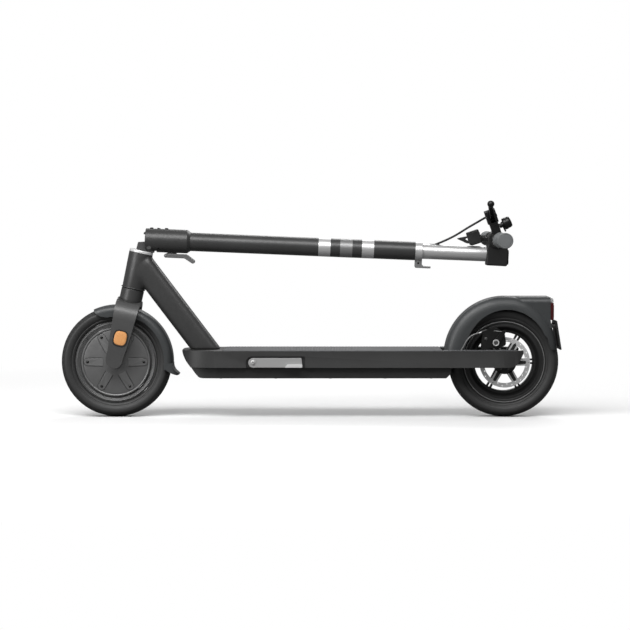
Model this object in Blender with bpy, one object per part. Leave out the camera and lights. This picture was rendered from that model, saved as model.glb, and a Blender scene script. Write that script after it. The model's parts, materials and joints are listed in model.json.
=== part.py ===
"""Folding electric kick scooter, in its folded state: the stem lies back over the deck.

Every length here is in millimetres and every angle in degrees; the mesh builders turn them
into Blender's metres.  +Z is up, the scooter points along -X, Y = 0 is its middle plane, the
rider's left side is -Y, and the floor is Z = 0.

Each moving body has an empty on its joint's axis.  Pieces are drawn in the frame of their
empty.  The steering frame stands on the front axle with its Z up the steering axis and its X
to the rear.  The stem frame stands on the fold pin with its Z up the stem; x = -n there,
where n is the way to the front of the unfolded stem.
"""

import math

import bmesh
import bpy
from mathutils import Matrix, Vector

MM = 0.001

# ---------------------------------------------------------------- driving dimensions
TYRE_RADIUS = 127.0
TYRE_HALF = 30.5
WHEELBASE = 894.0
FRONT_AXLE_X = -449.0
REAR_AXLE_X = FRONT_AXLE_X + WHEELBASE
AXLE_Z = TYRE_RADIUS
HEAD_TILT = 12.8
FOLDED_SLOPE = 2.35
HINGE_HEIGHT = 273.9
HINGE_SETBACK = 16.5
UNFOLD_TURN = 90.0 + FOLDED_SLOPE - HEAD_TILT

DECK_TOP = 155.5
DECK_HALF = 85.0
RAIL_BOTTOM = 117.3
BELLY_BOTTOM = 92.5
DECK_REAR = 300.0
ARM_INNER = 57.0
ARM_OUTER = 84.8

RIM_RADIUS = 93.3
DISC_RADIUS = 58.0
DISC_OUTER_FACE = -41.0
DISC_INNER_FACE = -39.0

HEAD_TUBE_LOW = 172.0
HEAD_TUBE_HIGH = 256.2
STEERER_RADIUS = 15.0
BEARING_RADIUS = 21.0

SLEEVE_RADIUS = 27.1
STEM_RADIUS = 21.3
UPPER_RADIUS = 17.3
STEM_END = 612.5
HEAD_BLOCK_START = 776.5
HEAD_BLOCK_END = 825.5
BAR_T = 797.3
BAR_N = 34.2
BAR_RADIUS = 11.0
BAR_HALF = 260.0
GRIP_INNER = 130.0
GRIP_RADIUS = 17.5

GAP = 0.3


# ---------------------------------------------------------------- scene and materials
def clear_scene():
    for obj in list(bpy.data.objects):
        bpy.data.objects.remove(obj, do_unlink=True)


def paint(obj, colour, roughness=0.5, metallic=0.0):
    """Gives an object its own Principled material; the colour is linear RGB."""
    material = bpy.data.materials.new(obj.name)
    material.use_nodes = True
    shader = material.node_tree.nodes["Principled BSDF"]
    shader.inputs["Base Color"].default_value = (*colour, 1.0)
    shader.inputs["Roughness"].default_value = roughness
    shader.inputs["Metallic"].default_value = metallic
    obj.data.materials.append(material)
    return obj


def charcoal(obj):
    return paint(obj, (0.075, 0.075, 0.078), 0.45, 0.3)


def black_plastic(obj):
    return paint(obj, (0.018, 0.018, 0.018), 0.5)


def rubber(obj):
    return paint(obj, (0.032, 0.032, 0.032), 0.8)


def bright_metal(obj):
    return paint(obj, (0.55, 0.55, 0.55), 0.32, 1.0)


def grey_metal(obj):
    return paint(obj, (0.25, 0.25, 0.25), 0.4, 0.9)


# ---------------------------------------------------------------- frames
def pivot(name, parent, location, turn=0.0):
    """An empty on a joint's axis, placed in its parent's frame and turned about its Y."""
    empty = bpy.data.objects.new(name, None)
    bpy.context.scene.collection.objects.link(empty)
    empty.parent = parent
    empty.location = Vector(location) * MM
    empty.rotation_euler = (0.0, math.radians(turn), 0.0)
    empty.empty_display_size = 0.03
    return empty


def to_steering(points):
    """Side-view points of the scooter's own frame, as points of the steering frame."""
    tilt = math.radians(HEAD_TILT)
    turned_points = []
    for x, z in points:
        dx = x - FRONT_AXLE_X
        dz = z - AXLE_Z
        along_x = dx * math.cos(tilt) - dz * math.sin(tilt)
        along_z = dx * math.sin(tilt) + dz * math.cos(tilt)
        turned_points.append((along_x, along_z))
    return turned_points


def from_steering(r, s):
    """A steering-frame point (rearward r, up the axis s) in the scooter's own side view."""
    tilt = math.radians(HEAD_TILT)
    x = FRONT_AXLE_X + s * math.sin(tilt) + r * math.cos(tilt)
    z = AXLE_Z + s * math.cos(tilt) - r * math.sin(tilt)
    return x, z


def stem_x(n):
    """The stem frame's x of a point n in front of the stem tube's axis."""
    return -(n + HINGE_SETBACK)


def stem_outline(points):
    """Points (t up the stem, n to its front) as (x, z) of the stem frame."""
    return [(stem_x(n), t) for t, n in points]


# ---------------------------------------------------------------- outlines
def arc(centre, radius, start, stop, steps):
    """Points along an arc, from the start angle to the stop angle, both ends included."""
    points = []
    for i in range(steps + 1):
        angle = math.radians(start + (stop - start) * i / steps)
        points.append((centre[0] + radius * math.cos(angle), centre[1] + radius * math.sin(angle)))
    return points


def oval(centre, half_width, half_height, power, steps):
    """A rounded square or an ellipse, as a superellipse of the given power."""
    points = []
    for i in range(steps):
        angle = 2.0 * math.pi * i / steps
        c = math.cos(angle)
        s = math.sin(angle)
        x = math.copysign(abs(c) ** (2.0 / power), c) * half_width
        z = math.copysign(abs(s) ** (2.0 / power), s) * half_height
        points.append((centre[0] + x, centre[1] + z))
    return points


def rectangle(low, high):
    return [(low[0], low[1]), (high[0], low[1]), (high[0], high[1]), (low[0], high[1])]


def mirrored(half):
    """A closed outline from its +Y half, given front to back as (x, y)."""
    return half + [(x, -y) for x, y in reversed(half)]


# ---------------------------------------------------------------- solids
def finish_object(name, bm, frame):
    bmesh.ops.recalc_face_normals(bm, faces=bm.faces)
    mesh = bpy.data.meshes.new(name)
    bm.to_mesh(mesh)
    bm.free()
    mesh.shade_smooth()
    mesh.set_sharp_from_angle(angle=math.radians(35.0))
    obj = bpy.data.objects.new(name, mesh)
    bpy.context.scene.collection.objects.link(obj)
    obj.parent = frame
    return obj


def extruded(name, frame, corners, way):
    """Extrudes the face with the given corners along a vector; millimetres."""
    bm = bmesh.new()
    face = bm.faces.new([bm.verts.new(Vector(corner) * MM) for corner in corners])
    region = bmesh.ops.extrude_face_region(bm, geom=[face])
    top = [item for item in region["geom"] if isinstance(item, bmesh.types.BMVert)]
    bmesh.ops.translate(bm, vec=Vector(way) * MM, verts=top)
    return finish_object(name, bm, frame)


def prism(name, frame, outline, y_low, y_high):
    """A side-view outline (x, z) with a thickness along Y."""
    corners = [(x, y_low, z) for x, z in outline]
    return extruded(name, frame, corners, (0.0, y_high - y_low, 0.0))


def slab(name, frame, outline, z_low, z_high):
    """A plan outline (x, y) with a thickness along Z."""
    corners = [(x, y, z_low) for x, y in outline]
    return extruded(name, frame, corners, (0.0, 0.0, z_high - z_low))


def front_view(name, frame, outline, x_low, x_high):
    """A front-view outline (y, z) with a thickness along X."""
    corners = [(x_low, y, z) for y, z in outline]
    return extruded(name, frame, corners, (x_high - x_low, 0.0, 0.0))


def turned(name, frame, profile, centre=(0.0, 0.0, 0.0), axis="Y", steps=24, solid=False):
    """Turns a profile of (radius, height) points about a Y or Z axis through the centre.

    The profile closes on itself, or, when solid, both of its ends lie on the axis.
    """
    bm = bmesh.new()
    rings = []
    for radius, height in profile:
        ring = []
        for i in range(1 if radius == 0.0 else steps):
            angle = 2.0 * math.pi * i / steps
            u = radius * math.cos(angle)
            v = radius * math.sin(angle)
            offset = (u, height, v) if axis == "Y" else (u, v, height)
            ring.append(bm.verts.new((Vector(centre) + Vector(offset)) * MM))
        rings.append(ring)
    pairs = list(zip(rings, rings[1:]))
    if not solid:
        pairs.append((rings[-1], rings[0]))
    for low, high in pairs:
        for i in range(steps):
            j = (i + 1) % steps
            corners = [low[i % len(low)], low[j % len(low)], high[j % len(high)], high[i % len(high)]]
            bm.faces.new(list(dict.fromkeys(corners)))
    return finish_object(name, bm, frame)


def rod(name, frame, radius, low, high, centre, axis="Y", steps=24):
    """A plain round bar between two heights along its axis."""
    profile = [(0.0, low), (radius, low), (radius, high), (0.0, high)]
    return turned(name, frame, profile, centre, axis, steps, solid=True)


def pipe(name, frame, outer, inner, low, high, centre, axis="Y", steps=24):
    """A plain tube or ring between two heights along its axis."""
    profile = [(outer, low), (outer, high), (inner, high), (inner, low)]
    return turned(name, frame, profile, centre, axis, steps)


def block(name, frame, low, high):
    """An upright box between two opposite corners."""
    return prism(name, frame, rectangle((low[0], low[2]), (high[0], high[2])), low[1], high[1])


def swept(name, frame, profile, start, stop, steps):
    """Sweeps a closed (radius, y) profile about the frame's Y axis through part of a turn."""
    bm = bmesh.new()
    rings = []
    for i in range(steps + 1):
        angle = math.radians(start + (stop - start) * i / steps)
        ring = []
        for radius, y in profile:
            place = Vector((radius * math.cos(angle), y, radius * math.sin(angle)))
            ring.append(bm.verts.new(place * MM))
        rings.append(ring)
    count = len(profile)
    for low, high in zip(rings, rings[1:]):
        for i in range(count):
            j = (i + 1) % count
            bm.faces.new([low[i], low[j], high[j], high[i]])
    bm.faces.new(rings[0])
    bm.faces.new(rings[-1])
    return finish_object(name, bm, frame)


def cable(name, frame, points, radius):
    """A round cable along a smooth curve through the given points."""
    curve = bpy.data.curves.new(name, "CURVE")
    curve.dimensions = "3D"
    curve.bevel_depth = radius * MM
    curve.bevel_resolution = 2
    curve.use_fill_caps = True
    route = smooth_route([Vector(point) for point in points], 3)
    spline = curve.splines.new("POLY")
    spline.points.add(len(route) - 1)
    for spot, place in zip(spline.points, route):
        spot.co = (*(place * MM), 1.0)
    obj = bpy.data.objects.new(name, curve)
    bpy.context.scene.collection.objects.link(obj)
    obj.parent = frame
    return obj


def smooth_route(points, steps):
    """Reads a Catmull-Rom curve through the points, with some steps between each pair."""
    ends = [points[0] * 2 - points[1]] + points + [points[-1] * 2 - points[-2]]
    route = []
    for a, b, c, d in zip(ends, ends[1:], ends[2:], ends[3:]):
        for i in range(steps):
            f = i / steps
            place = (b * 2 + (c - a) * f + (a * 2 - b * 5 + c * 4 - d) * f ** 2
                     + (b * 3 - a - c * 3 + d) * f ** 3) / 2
            route.append(place)
    route.append(points[-1])
    return route


# ---------------------------------------------------------------- combining solids
def combine(obj, tool, operation):
    """Adds a Boolean by a tool that stays in the scene as a wire guide."""
    tool.display_type = "WIRE"
    tool.hide_render = True
    modifier = obj.modifiers.new(f"{operation.lower()} {tool.name}", "BOOLEAN")
    modifier.operation = operation
    modifier.solver = "EXACT"
    modifier.object = tool
    return obj


def cut(obj, *tools):
    for tool in tools:
        combine(obj, tool, "DIFFERENCE")
    return obj


def join(obj, *tools):
    for tool in tools:
        combine(obj, tool, "UNION")
    return obj


def common(obj, *tools):
    for tool in tools:
        combine(obj, tool, "INTERSECT")
    return obj


def rounded(obj, width, segments=2, angle=40.0):
    """Rounds the edges that turn more than the given angle."""
    modifier = obj.modifiers.new("rounded edges", "BEVEL")
    modifier.width = width * MM
    modifier.segments = segments
    modifier.limit_method = "ANGLE"
    modifier.angle_limit = math.radians(angle)
    return obj


# ---------------------------------------------------------------- places shared by several pieces
KICKSTAND_PIVOT = (-131.5, 0.0, 129.7)
CHARGE_PORT = (-186.0, 0.0, 134.0)
REAR_AXLE = (REAR_AXLE_X, 0.0, AXLE_Z)
CALIPER_PIVOT = (423.3, 0.0, 173.1)
CALIPER_ANCHOR = (441.3, 0.0, 198.3)
LATCH_PIVOT = (38.7, -34.1)
LATCH_X = stem_x(LATCH_PIVOT[1])
LEVER_PIVOT = (777.0, 86.4)
LEVER_Y = -100.0
LEVER_TURN = -21.3
BELL_TURN = -27.9


# ---------------------------------------------------------------- frame and deck
def build_main_frame(root, head):
    """Head tube and down tube, welded into one piece and hollow along the down tube."""
    outline = [
        from_steering(0.0, 251.0), from_steering(26.5, 252.5), (-208.0, DECK_TOP + GAP),
        (-276.1, DECK_TOP + GAP), (-370.9, 278.7), (-377.5, 285.4), from_steering(22.0, 174.5),
        from_steering(0.0, 174.5),
    ]
    down_tube = rounded(prism("down_tube_outside", root, outline, -27.0, 27.0), 12.0, 3, 70.0)
    inside = [
        from_steering(36.0, 236.0), (-219.0, DECK_TOP - 10.0), (-259.0, DECK_TOP - 10.0),
        (-361.0, 280.5), from_steering(36.0, 186.0),
    ]
    hollow = prism("cut_down_tube_inside", root, inside, -19.0, 19.0)
    seat = BEARING_RADIUS + GAP
    profile = [
        (25.6, HEAD_TUBE_LOW), (27.6, HEAD_TUBE_HIGH), (seat, HEAD_TUBE_HIGH), (seat, HEAD_TUBE_LOW),
    ]
    frame = turned("main_frame", head, profile, axis="Z", steps=20)
    bore = rod("cut_head_tube_bore", head, seat + 1.0, 160.0, 270.0, (0, 0, 0), "Z")
    cut(down_tube, bore, hollow)
    charcoal(join(frame, down_tube))


def build_headset_bearings(head):
    inner = STEERER_RADIUS + GAP
    for name, low in (("upper_headset_bearing", 244.0), ("lower_headset_bearing", 174.5)):
        bright_metal(pipe(name, head, BEARING_RADIUS, inner, low, low + 10.0, (0, 0, 0), "Z", 16))


def deck_plan(inset):
    """Plan outline of the deck: a tapered, rounded nose and straight sides."""
    side = DECK_HALF - inset
    half = [
        (-296.5 + inset, 24.0), (-291.5 + inset, 0.57 * side), (-277.0 + inset, 0.79 * side),
        (-251.0 + inset, 0.93 * side), (-215.0 + inset, side), (DECK_REAR, side),
    ]
    return mirrored(half)


def build_deck(root):
    side = [
        (-294.0, DECK_TOP), (-296.5, 152.5), (-274.5, RAIL_BOTTOM), (DECK_REAR, RAIL_BOTTOM),
        (DECK_REAR, DECK_TOP),
    ]
    chassis = prism("deck_chassis", root, side, -DECK_HALF - 5.0, DECK_HALF + 5.0)
    common(chassis, slab("deck_plan", root, deck_plan(0.0), 100.0, 170.0))
    cut(
        chassis,
        block("cut_battery_bay", root, (-190.0, -71.0, 100.0), (285.0, 71.0, 148.0)),
        block("cut_mat_recess", root, (-202.0, -80.0, 153.2), (DECK_REAR + 5.0, 80.0, 165.0)),
        block("cut_kickstand_pocket", root, (-146.5, -95.0, 100.0), (-14.5, -79.0, 142.3)),
        block("cut_cable_exit", root, (270.0, -53.5, 132.5), (320.0, -46.5, 139.5)),
        rod("cut_kickstand_bolt", root, 3.3, -95.0, -60.0, KICKSTAND_PIVOT, steps=16),
        rod("cut_charge_port", root, 9.3, 60.0, 95.0, CHARGE_PORT),
    )
    charcoal(chassis)


def build_deck_mat(root):
    outline = mirrored([(-201.5, 60.0), (-196.0, 74.0), (-182.0, 79.6), (DECK_REAR - 0.5, 79.6)])
    rubber(slab("deck_mat", root, outline, 153.5, 156.6))


def build_belly_cover(root):
    top = RAIL_BOTTOM - GAP
    side = [
        (-274.0, top), (-257.5, 95.5), (-250.0, BELLY_BOTTOM), (309.0, BELLY_BOTTOM), (320.5, 104.0),
        (320.5, top),
    ]
    cover = prism("belly_cover", root, side, -90.0, 90.0)
    plan = deck_plan(12.0)
    plan = [(x + 8.0 if x < DECK_REAR else 325.0, y) for x, y in plan]
    common(cover, slab("belly_plan", root, plan, 80.0, 125.0))
    cut(
        cover,
        block("cut_belly_tray", root, (-186.0, -67.0, 95.5), (281.0, 67.0, 130.0)),
        rod("cut_belly_wheel", root, TYRE_RADIUS + 6.0, -46.0, 46.0, REAR_AXLE, steps=36),
    )
    black_plastic(cover)


def build_electrics(root):
    battery = block("battery_pack", root, (-180.0, -62.0, 97.0), (190.0, 62.0, 146.0))
    paint(battery, (0.02, 0.06, 0.16), 0.4)
    controller = rounded(block("motor_controller", root, (200.0, -40.0, 97.0), (276.0, 55.0, 128.0)), 3.0)
    grey_metal(controller)


def build_rear_arms(root):
    """Two arms that carry the rear axle, one on each side of the wheel."""
    outline = [(DECK_REAR + GAP, DECK_TOP), (DECK_REAR + GAP, RAIL_BOTTOM), (450.0, RAIL_BOTTOM)]
    outline += arc((453.0, 144.3), 27.0, -80.0, -32.0, 4)
    outline += [(486.5, 148.0), (487.0, 153.5), (484.0, DECK_TOP)]
    socket = rod("cut_rear_axle", root, 5.3, -74.0, 74.0, REAR_AXLE, steps=20)
    for name, side in (("rear_arm_left", -1.0), ("rear_arm_right", 1.0)):
        low, high = sorted((side * ARM_INNER, side * ARM_OUTER))
        arm = rounded(prism(name, root, outline, low, high), 3.0, 2, 60.0)
        charcoal(cut(arm, socket))


def build_rear_fender(root):
    """A hollow guard: a skin over the tyre, two side skirts, and a squared tail for the light."""
    centre = (449.0, 137.0)
    outer = arc(centre, 141.0, 187.0, 92.0, 14)
    outer += [
        (546.5, 279.0), (555.0, 273.5), (556.0, 216.0), (567.0, 160.0), (565.0, 155.5), (556.0, 155.5),
    ]
    outer += arc((450.0, 138.0), 98.0, 8.0, 20.0, 1)
    skirt_edge = [(450.0 + 98.0 * math.cos(a), 138.0 + 110.0 * math.sin(a))
                  for a in (math.radians(30.0 + 10.0 * i) for i in range(15))]
    outer += skirt_edge + [(346.0, 119.8)]
    fender = prism("rear_fender", root, outer, -45.0, 45.0)
    inside = arc(centre, 138.0, 200.0, 92.0, 14)
    inside += [
        (545.0, 276.0), (552.5, 272.0), (553.5, 201.0), (590.0, 199.0), (590.0, 90.0), (320.0, 90.0),
    ]
    opening = block("cut_tail_light", root, (540.0, -28.3, 222.7), (580.0, 28.3, 270.3))
    charcoal(cut(fender, prism("cut_wheel_space", root, inside, -41.7, 41.7), opening))


def build_tail(root):
    lens = [(549.0, 223.0), (558.0, 223.0), (559.0, 225.0), (558.0, 268.5), (556.0, 270.0), (549.0, 270.0)]
    paint(prism("tail_light", root, lens, -28.0, 28.0), (0.10, 0.008, 0.010), 0.15)
    plate = [
        (560.0, 214.0), (561.5, 222.8), (565.0, 222.0), (576.0, 155.5), (571.5, 154.6), (569.3, 160.5),
    ]
    black_plastic(prism("reflector_plate", root, plate, -40.0, 40.0))


def build_charge_port(root, cap_pivot):
    port = pipe("charge_port", root, 9.0, 5.5, 72.0, 84.7, CHARGE_PORT, steps=24)
    floor = rod("charge_port_floor", root, 7.0, 72.0, 76.0, CHARGE_PORT)
    black_plastic(join(port, floor))
    cap = rod("charge_port_cap", cap_pivot, 12.0, -1.2, 1.8, (0.0, 0.0, -14.0))
    tab = block("charge_cap_tab", cap_pivot, (-5.0, -1.2, -8.0), (5.0, 1.8, 0.9))
    rubber(join(cap, tab))


def build_kickstand(root, stand):
    """The stand lies in a pocket of the left rail and swings down about its front bolt."""
    leg = arc((0.0, 0.0), 11.8, 90.0, 270.0, 12) + [(110.5, -11.8), (112.5, -8.0), (110.5, 11.8)]
    kickstand = prism("kickstand", stand, leg, -86.5, -79.4)
    foot = block("kickstand_foot", stand, (82.0, -93.5, -11.8), (112.4, -84.0, -6.3))
    join(kickstand, rounded(foot, 1.5))
    cut(kickstand, rod("cut_stand_bolt", stand, 3.3, -95.0, -70.0, (0, 0, 0), steps=16))
    bright_metal(kickstand)
    profile = [
        (0.0, -89.0), (4.6, -89.0), (5.4, -88.2), (5.4, -86.8), (3.0, -86.8), (3.0, -74.0), (0.0, -74.0),
    ]
    bright_metal(turned("kickstand_bolt", root, profile, KICKSTAND_PIVOT, steps=16, solid=True))


# ---------------------------------------------------------------- wheels
def tyre(name, axle):
    profile = [
        (93.7, -22.0), (98.0, -26.5), (111.0, -TYRE_HALF), (121.5, -25.5), (126.4, -11.0),
        (TYRE_RADIUS, 0.0),
    ]
    profile += [(radius, -y) for radius, y in reversed(profile[:-1])]
    paint(turned(name, axle, profile, steps=36), (0.022, 0.022, 0.022), 0.85)


def build_front_wheel(wheel, steering):
    tyre("front_tyre", wheel)
    shell = [
        (6.3, 22.0), (6.3, 30.0), (30.0, 30.0), (74.0, 27.0), (81.0, 23.5), (RIM_RADIUS, 23.5),
        (RIM_RADIUS, -23.5), (81.0, -25.5), (79.8, -19.5), (74.0, -19.5), (74.0, 22.0),
    ]
    charcoal(turned("front_hub_shell", wheel, shell, steps=36))
    cover = [(6.3, -20.0), (79.4, -20.0), (79.4, -25.5), (76.0, -27.0), (30.0, -30.0), (6.3, -30.0)]
    charcoal(turned("front_hub_cover", wheel, cover, steps=36))
    axle = [
        (0.0, -57.5), (6.0, -57.5), (6.0, -16.0), (58.0, -15.0), (66.0, -15.0), (66.0, 15.0), (58.0, 15.0),
        (6.0, 16.0), (6.0, 57.5), (0.0, 57.5),
    ]
    grey_metal(turned("motor_stator_and_axle", steering, axle, steps=24, solid=True))


def build_rear_wheel(wheel, root):
    tyre("rear_tyre", wheel)
    ring = [
        (70.0, -13.0), (78.0, -15.0), (81.0, -22.5), (RIM_RADIUS, -23.5), (RIM_RADIUS, 23.5), (81.0, 22.5),
        (78.0, 15.0), (70.0, 13.0),
    ]
    rim = turned("rear_rim", wheel, ring, steps=36)
    hub = [
        (12.3, -38.7), (19.0, -38.7), (19.0, -27.0), (26.0, -24.0), (26.0, 24.0), (22.0, 28.0),
        (12.3, 28.0),
    ]
    join(rim, spokes(wheel), turned("rear_hub", wheel, hub, steps=24))
    charcoal(rim)
    for name, low in (("rear_bearing_left", -37.0), ("rear_bearing_right", 18.0)):
        bright_metal(pipe(name, wheel, 12.0, 5.3, low, low + 9.0, (0, 0, 0), steps=16))
    grey_metal(rod("rear_axle", root, 5.0, -73.5, 73.5, REAR_AXLE, steps=20))
    build_brake_disc(wheel)


def spokes(wheel):
    """Six pairs of flat spokes, from the hub to the rim, as separate bars of one tool."""
    bm = bmesh.new()
    for i in range(6):
        turn = Matrix.Rotation(math.radians(60.0 * i), 4, "Y")
        for side in (-5.0, 5.0):
            middle = Matrix.Translation(Vector((48.0, 0.0, side)) * MM)
            size = Matrix.Diagonal((54.0 * MM, 18.0 * MM, 4.4 * MM, 1.0))
            bmesh.ops.create_cube(bm, size=1.0, matrix=turn @ middle @ size)
    return finish_object("spoke_bars", bm, wheel)


def build_brake_disc(wheel):
    """A flat ring on six arms, cut from one plate."""
    faces = (DISC_OUTER_FACE, DISC_INNER_FACE)
    disc = pipe("brake_disc", wheel, DISC_RADIUS, 12.3, *faces, (0, 0, 0), steps=36)
    bm = bmesh.new()
    for i in range(6):
        middle = math.radians(60.0 * i + 30.0)
        corners = []
        for radius, spread in ((26.0, -13.0), (30.0, -18.0), (46.5, -19.0), (46.5, 0.0), (46.5, 19.0),
                               (30.0, 18.0), (26.0, 13.0)):
            angle = middle + math.radians(spread)
            place = Vector((radius * math.cos(angle), DISC_OUTER_FACE - 3.0, radius * math.sin(angle)))
            corners.append(bm.verts.new(place * MM))
        region = bmesh.ops.extrude_face_region(bm, geom=[bm.faces.new(corners)])
        far = [item for item in region["geom"] if isinstance(item, bmesh.types.BMVert)]
        bmesh.ops.translate(bm, vec=(0.0, 8.0 * MM, 0.0), verts=far)
    bright_metal(cut(disc, finish_object("cut_disc_windows", bm, wheel)))


# ---------------------------------------------------------------- rear brake
def build_caliper(root, arm_pivot, pad_slide):
    outline = [
        (391.0, 132.0), (391.0, 178.0), (395.0, 197.0), (408.0, 206.0), (428.0, 206.0), (444.0, 194.0),
        (447.0, 168.0), (432.0, 160.0), (409.0, 160.0), (409.0, 132.0),
    ]
    caliper = prism("brake_caliper", root, outline, -56.6, -27.0)
    below = [(380.0, 120.0), (380.0, 159.0), (412.0, 159.0), (412.0, 120.0)]
    cut(
        caliper,
        prism("cut_caliper_foot", root, below, -49.0, -20.0),
        rod("cut_disc_slot", root, 61.0, -44.0, -36.0, REAR_AXLE, steps=36),
        block("cut_caliper_face", root, (400.0, -60.0, 156.0), (460.0, -54.2, 210.0)),
    )
    black_plastic(caliper)
    face = oval((CALIPER_PIVOT[0], CALIPER_PIVOT[2]), 9.0, 7.0, 3.0, 12)
    grey_metal(prism("brake_pad_inner", root, face, -38.6, -36.3))
    grey_metal(prism("brake_pad_outer", pad_slide, face, -43.7, -41.4))
    reach = (CALIPER_ANCHOR[0] - CALIPER_PIVOT[0], CALIPER_ANCHOR[2] - CALIPER_PIVOT[2])
    lean = math.degrees(math.atan2(reach[1], reach[0]))
    arm = arc((0.0, 0.0), 8.0, lean + 60.0, lean + 300.0, 10)
    arm += arc(reach, 4.5, lean - 70.0, lean + 70.0, 5)
    grey_metal(prism("caliper_arm", arm_pivot, arm, -59.0, -54.6))


def build_rear_cable(root):
    route = [
        (290.5, -50.0, 136.0), (304.0, -50.0, 136.5), (324.0, -50.0, 142.0), (342.0, -50.5, 155.0),
        (357.0, -50.5, 173.0), (373.0, -50.5, 187.0), (390.5, -50.5, 196.5),
    ]
    black_plastic(cable("rear_brake_cable", root, route, 2.3))


# ---------------------------------------------------------------- steering and fork
def build_steerer(steering):
    """The steerer and the wide neck that it stands on."""
    inner = 12.0
    profile = [
        (26.3, 147.4), (26.3, 170.8), (STEERER_RADIUS, 170.8), (STEERER_RADIUS, 258.0), (inner, 258.0),
        (inner, 147.4),
    ]
    charcoal(turned("steerer_tube", steering, profile, axis="Z", steps=24))
    collar = [
        (26.7, 257.0), (26.7, 261.8), (25.6, 263.2), (23.3, 263.2), (23.3, 258.6),
        (STEERER_RADIUS + GAP, 258.6), (STEERER_RADIUS + GAP, 256.6), (25.5, 256.6),
    ]
    bright_metal(turned("headset_collar", steering, collar, axis="Z", steps=24))


def build_hinge_base(steering):
    """The fixed half of the fold hinge: a foot on the steerer with a lug for the pin."""
    pin = (HINGE_SETBACK, HINGE_HEIGHT)
    outline = [(-12.0, 264.3), (29.0, 264.3), (29.0, 268.0)]
    outline += arc(pin, 9.0, 10.0, 95.0, 5) + [(1.8, 284.3), (-12.0, 280.0)]
    base = prism("hinge_base", steering, outline, -12.0, 12.0)
    join(base, rod("hinge_foot", steering, 9.5, 258.3, 266.0, (0, 0, 0), "Z"))
    cut(base, rod("cut_pin_hole", steering, 4.3, -30.0, 30.0, (pin[0], 0.0, pin[1]), steps=16))
    grey_metal(base)


def build_fork(steering):
    """Crown and two legs: the side outline and the front arch, intersected."""
    side = [(27.2, 147.1), (28.0, 130.0), (27.6, 108.0), (26.3, 62.0), (22.1, 8.0)]
    side += arc((1.8, 7.7), 20.3, -10.0, -170.0, 8)
    side += [(-18.5, 8.0), (-20.8, 55.0), (-24.2, 105.0), (-27.6, 130.0), (-27.4, 147.1)]
    arch = [
        (64.0, -20.0), (64.0, 100.0), (62.0, 114.0), (56.0, 127.0), (45.0, 138.5), (30.0, 147.1),
    ]
    inner = [(48.0, -20.0), (48.0, 104.0), (45.5, 117.0), (40.0, 128.0), (34.0, 134.6)]
    fork = prism("fork", steering, side, -70.0, 70.0)
    half = arch[::-1] + inner
    outline = half + [(-y, z) for y, z in reversed(half)]
    common(fork, front_view("fork_arch", steering, outline, -50.0, 50.0))
    cut(fork, rod("cut_front_axle", steering, 6.3, -58.0, 58.0, (0, 0, 0), steps=16))
    pocket = oval((1.0, 58.2), 16.3, 18.4, 3.2, 24)
    cut(
        fork,
        prism("cut_left_reflector", steering, pocket, -75.0, -62.0),
        prism("cut_right_reflector", steering, pocket, 62.0, 75.0),
    )
    charcoal(fork)
    lens = oval((1.0, 58.2), 16.0, 18.1, 3.2, 24)
    for name, side_y in (("reflector_left", -1.0), ("reflector_right", 1.0)):
        low, high = sorted((side_y * 62.3, side_y * 66.2))
        paint(prism(name, steering, lens, low, high), (0.75, 0.20, 0.03), 0.2)


def build_front_fender(steering):
    section = [
        (108.0, -36.0), (124.0, -36.0), (129.5, -32.0), (131.0, -22.0), (131.0, 22.0), (129.5, 32.0),
        (124.0, 36.0), (108.0, 36.0), (108.0, 33.4), (122.0, 33.4), (127.6, 29.0), (128.6, 20.0),
        (128.6, -20.0), (127.6, -29.0), (122.0, -33.4), (108.0, -33.4),
    ]
    fender = swept("front_fender", steering, section, 4.0, 122.0, 18)
    tail = to_steering([(-320.4, 114.0), (-318.6, 114.0), (-303.8, 96.5), (-306.5, 94.6), (-321.5, 104.0)])
    join(fender, prism("fender_tail", steering, tail, -30.0, 30.0))
    join(fender, block("fender_mount", steering, (-9.0, -10.0, 129.8), (9.0, 10.0, 134.2)))
    charcoal(fender)


# ---------------------------------------------------------------- stem
def build_hinge_sleeve(stem):
    """The moving half of the fold hinge: two cheeks for the pin and a socket for the stem."""
    profile = [
        (0.0, -10.2), (SLEEVE_RADIUS, -10.2), (SLEEVE_RADIUS, 87.0), (STEM_RADIUS + 0.6, 93.7),
        (STEM_RADIUS + GAP, 93.7), (STEM_RADIUS + GAP, 41.0), (0.0, 41.0),
    ]
    centre = (stem_x(0.0), 0.0, 0.0)
    sleeve = turned("hinge_sleeve", stem, profile, centre, "Z", 28, solid=True)
    join(sleeve, block("latch_bracket", stem, (stem_x(-24.0), -7.5, 44.0), (stem_x(-29.0), 7.5, 63.0)))
    tongue = [(stem_x(-26.0), 63.0), (stem_x(-26.0), 44.0), (LATCH_X - 3.9, 37.0)]
    tongue += arc((LATCH_X, LATCH_PIVOT[0]), 4.0, 200.0, 380.0, 7)
    tongue += [(stem_x(-28.9), 45.5), (stem_x(-28.9), 62.0)]
    join(sleeve, prism("latch_tongue", stem, tongue, -3.8, 3.8))
    corner = [(0.0, -15.0), (20.0, -15.0), (20.0, 0.0)] + arc((0.0, 0.0), 9.9, 0.0, -90.0, 8)
    cut(
        sleeve,
        prism("cut_sleeve_corner", stem, corner, -40.0, 40.0),
        block("cut_hinge_mouth", stem, (stem_x(21.0), -12.4, -20.0), (20.0, 12.4, 17.0)),
        block("cut_bolt_channel", stem, (stem_x(19.1), -5.6, -20.0), (stem_x(12.5), 5.6, 30.0)),
        rod("cut_sleeve_pin", stem, 4.3, -30.0, 30.0, (0, 0, 0), steps=16),
    )
    charcoal(sleeve)
    pin = [(0.0, -22.6), (3.0, -22.6), (4.0, -21.8), (4.0, 21.8), (3.0, 22.6), (0.0, 22.6)]
    bright_metal(turned("hinge_pin", stem, pin, steps=16, solid=True))


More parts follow.
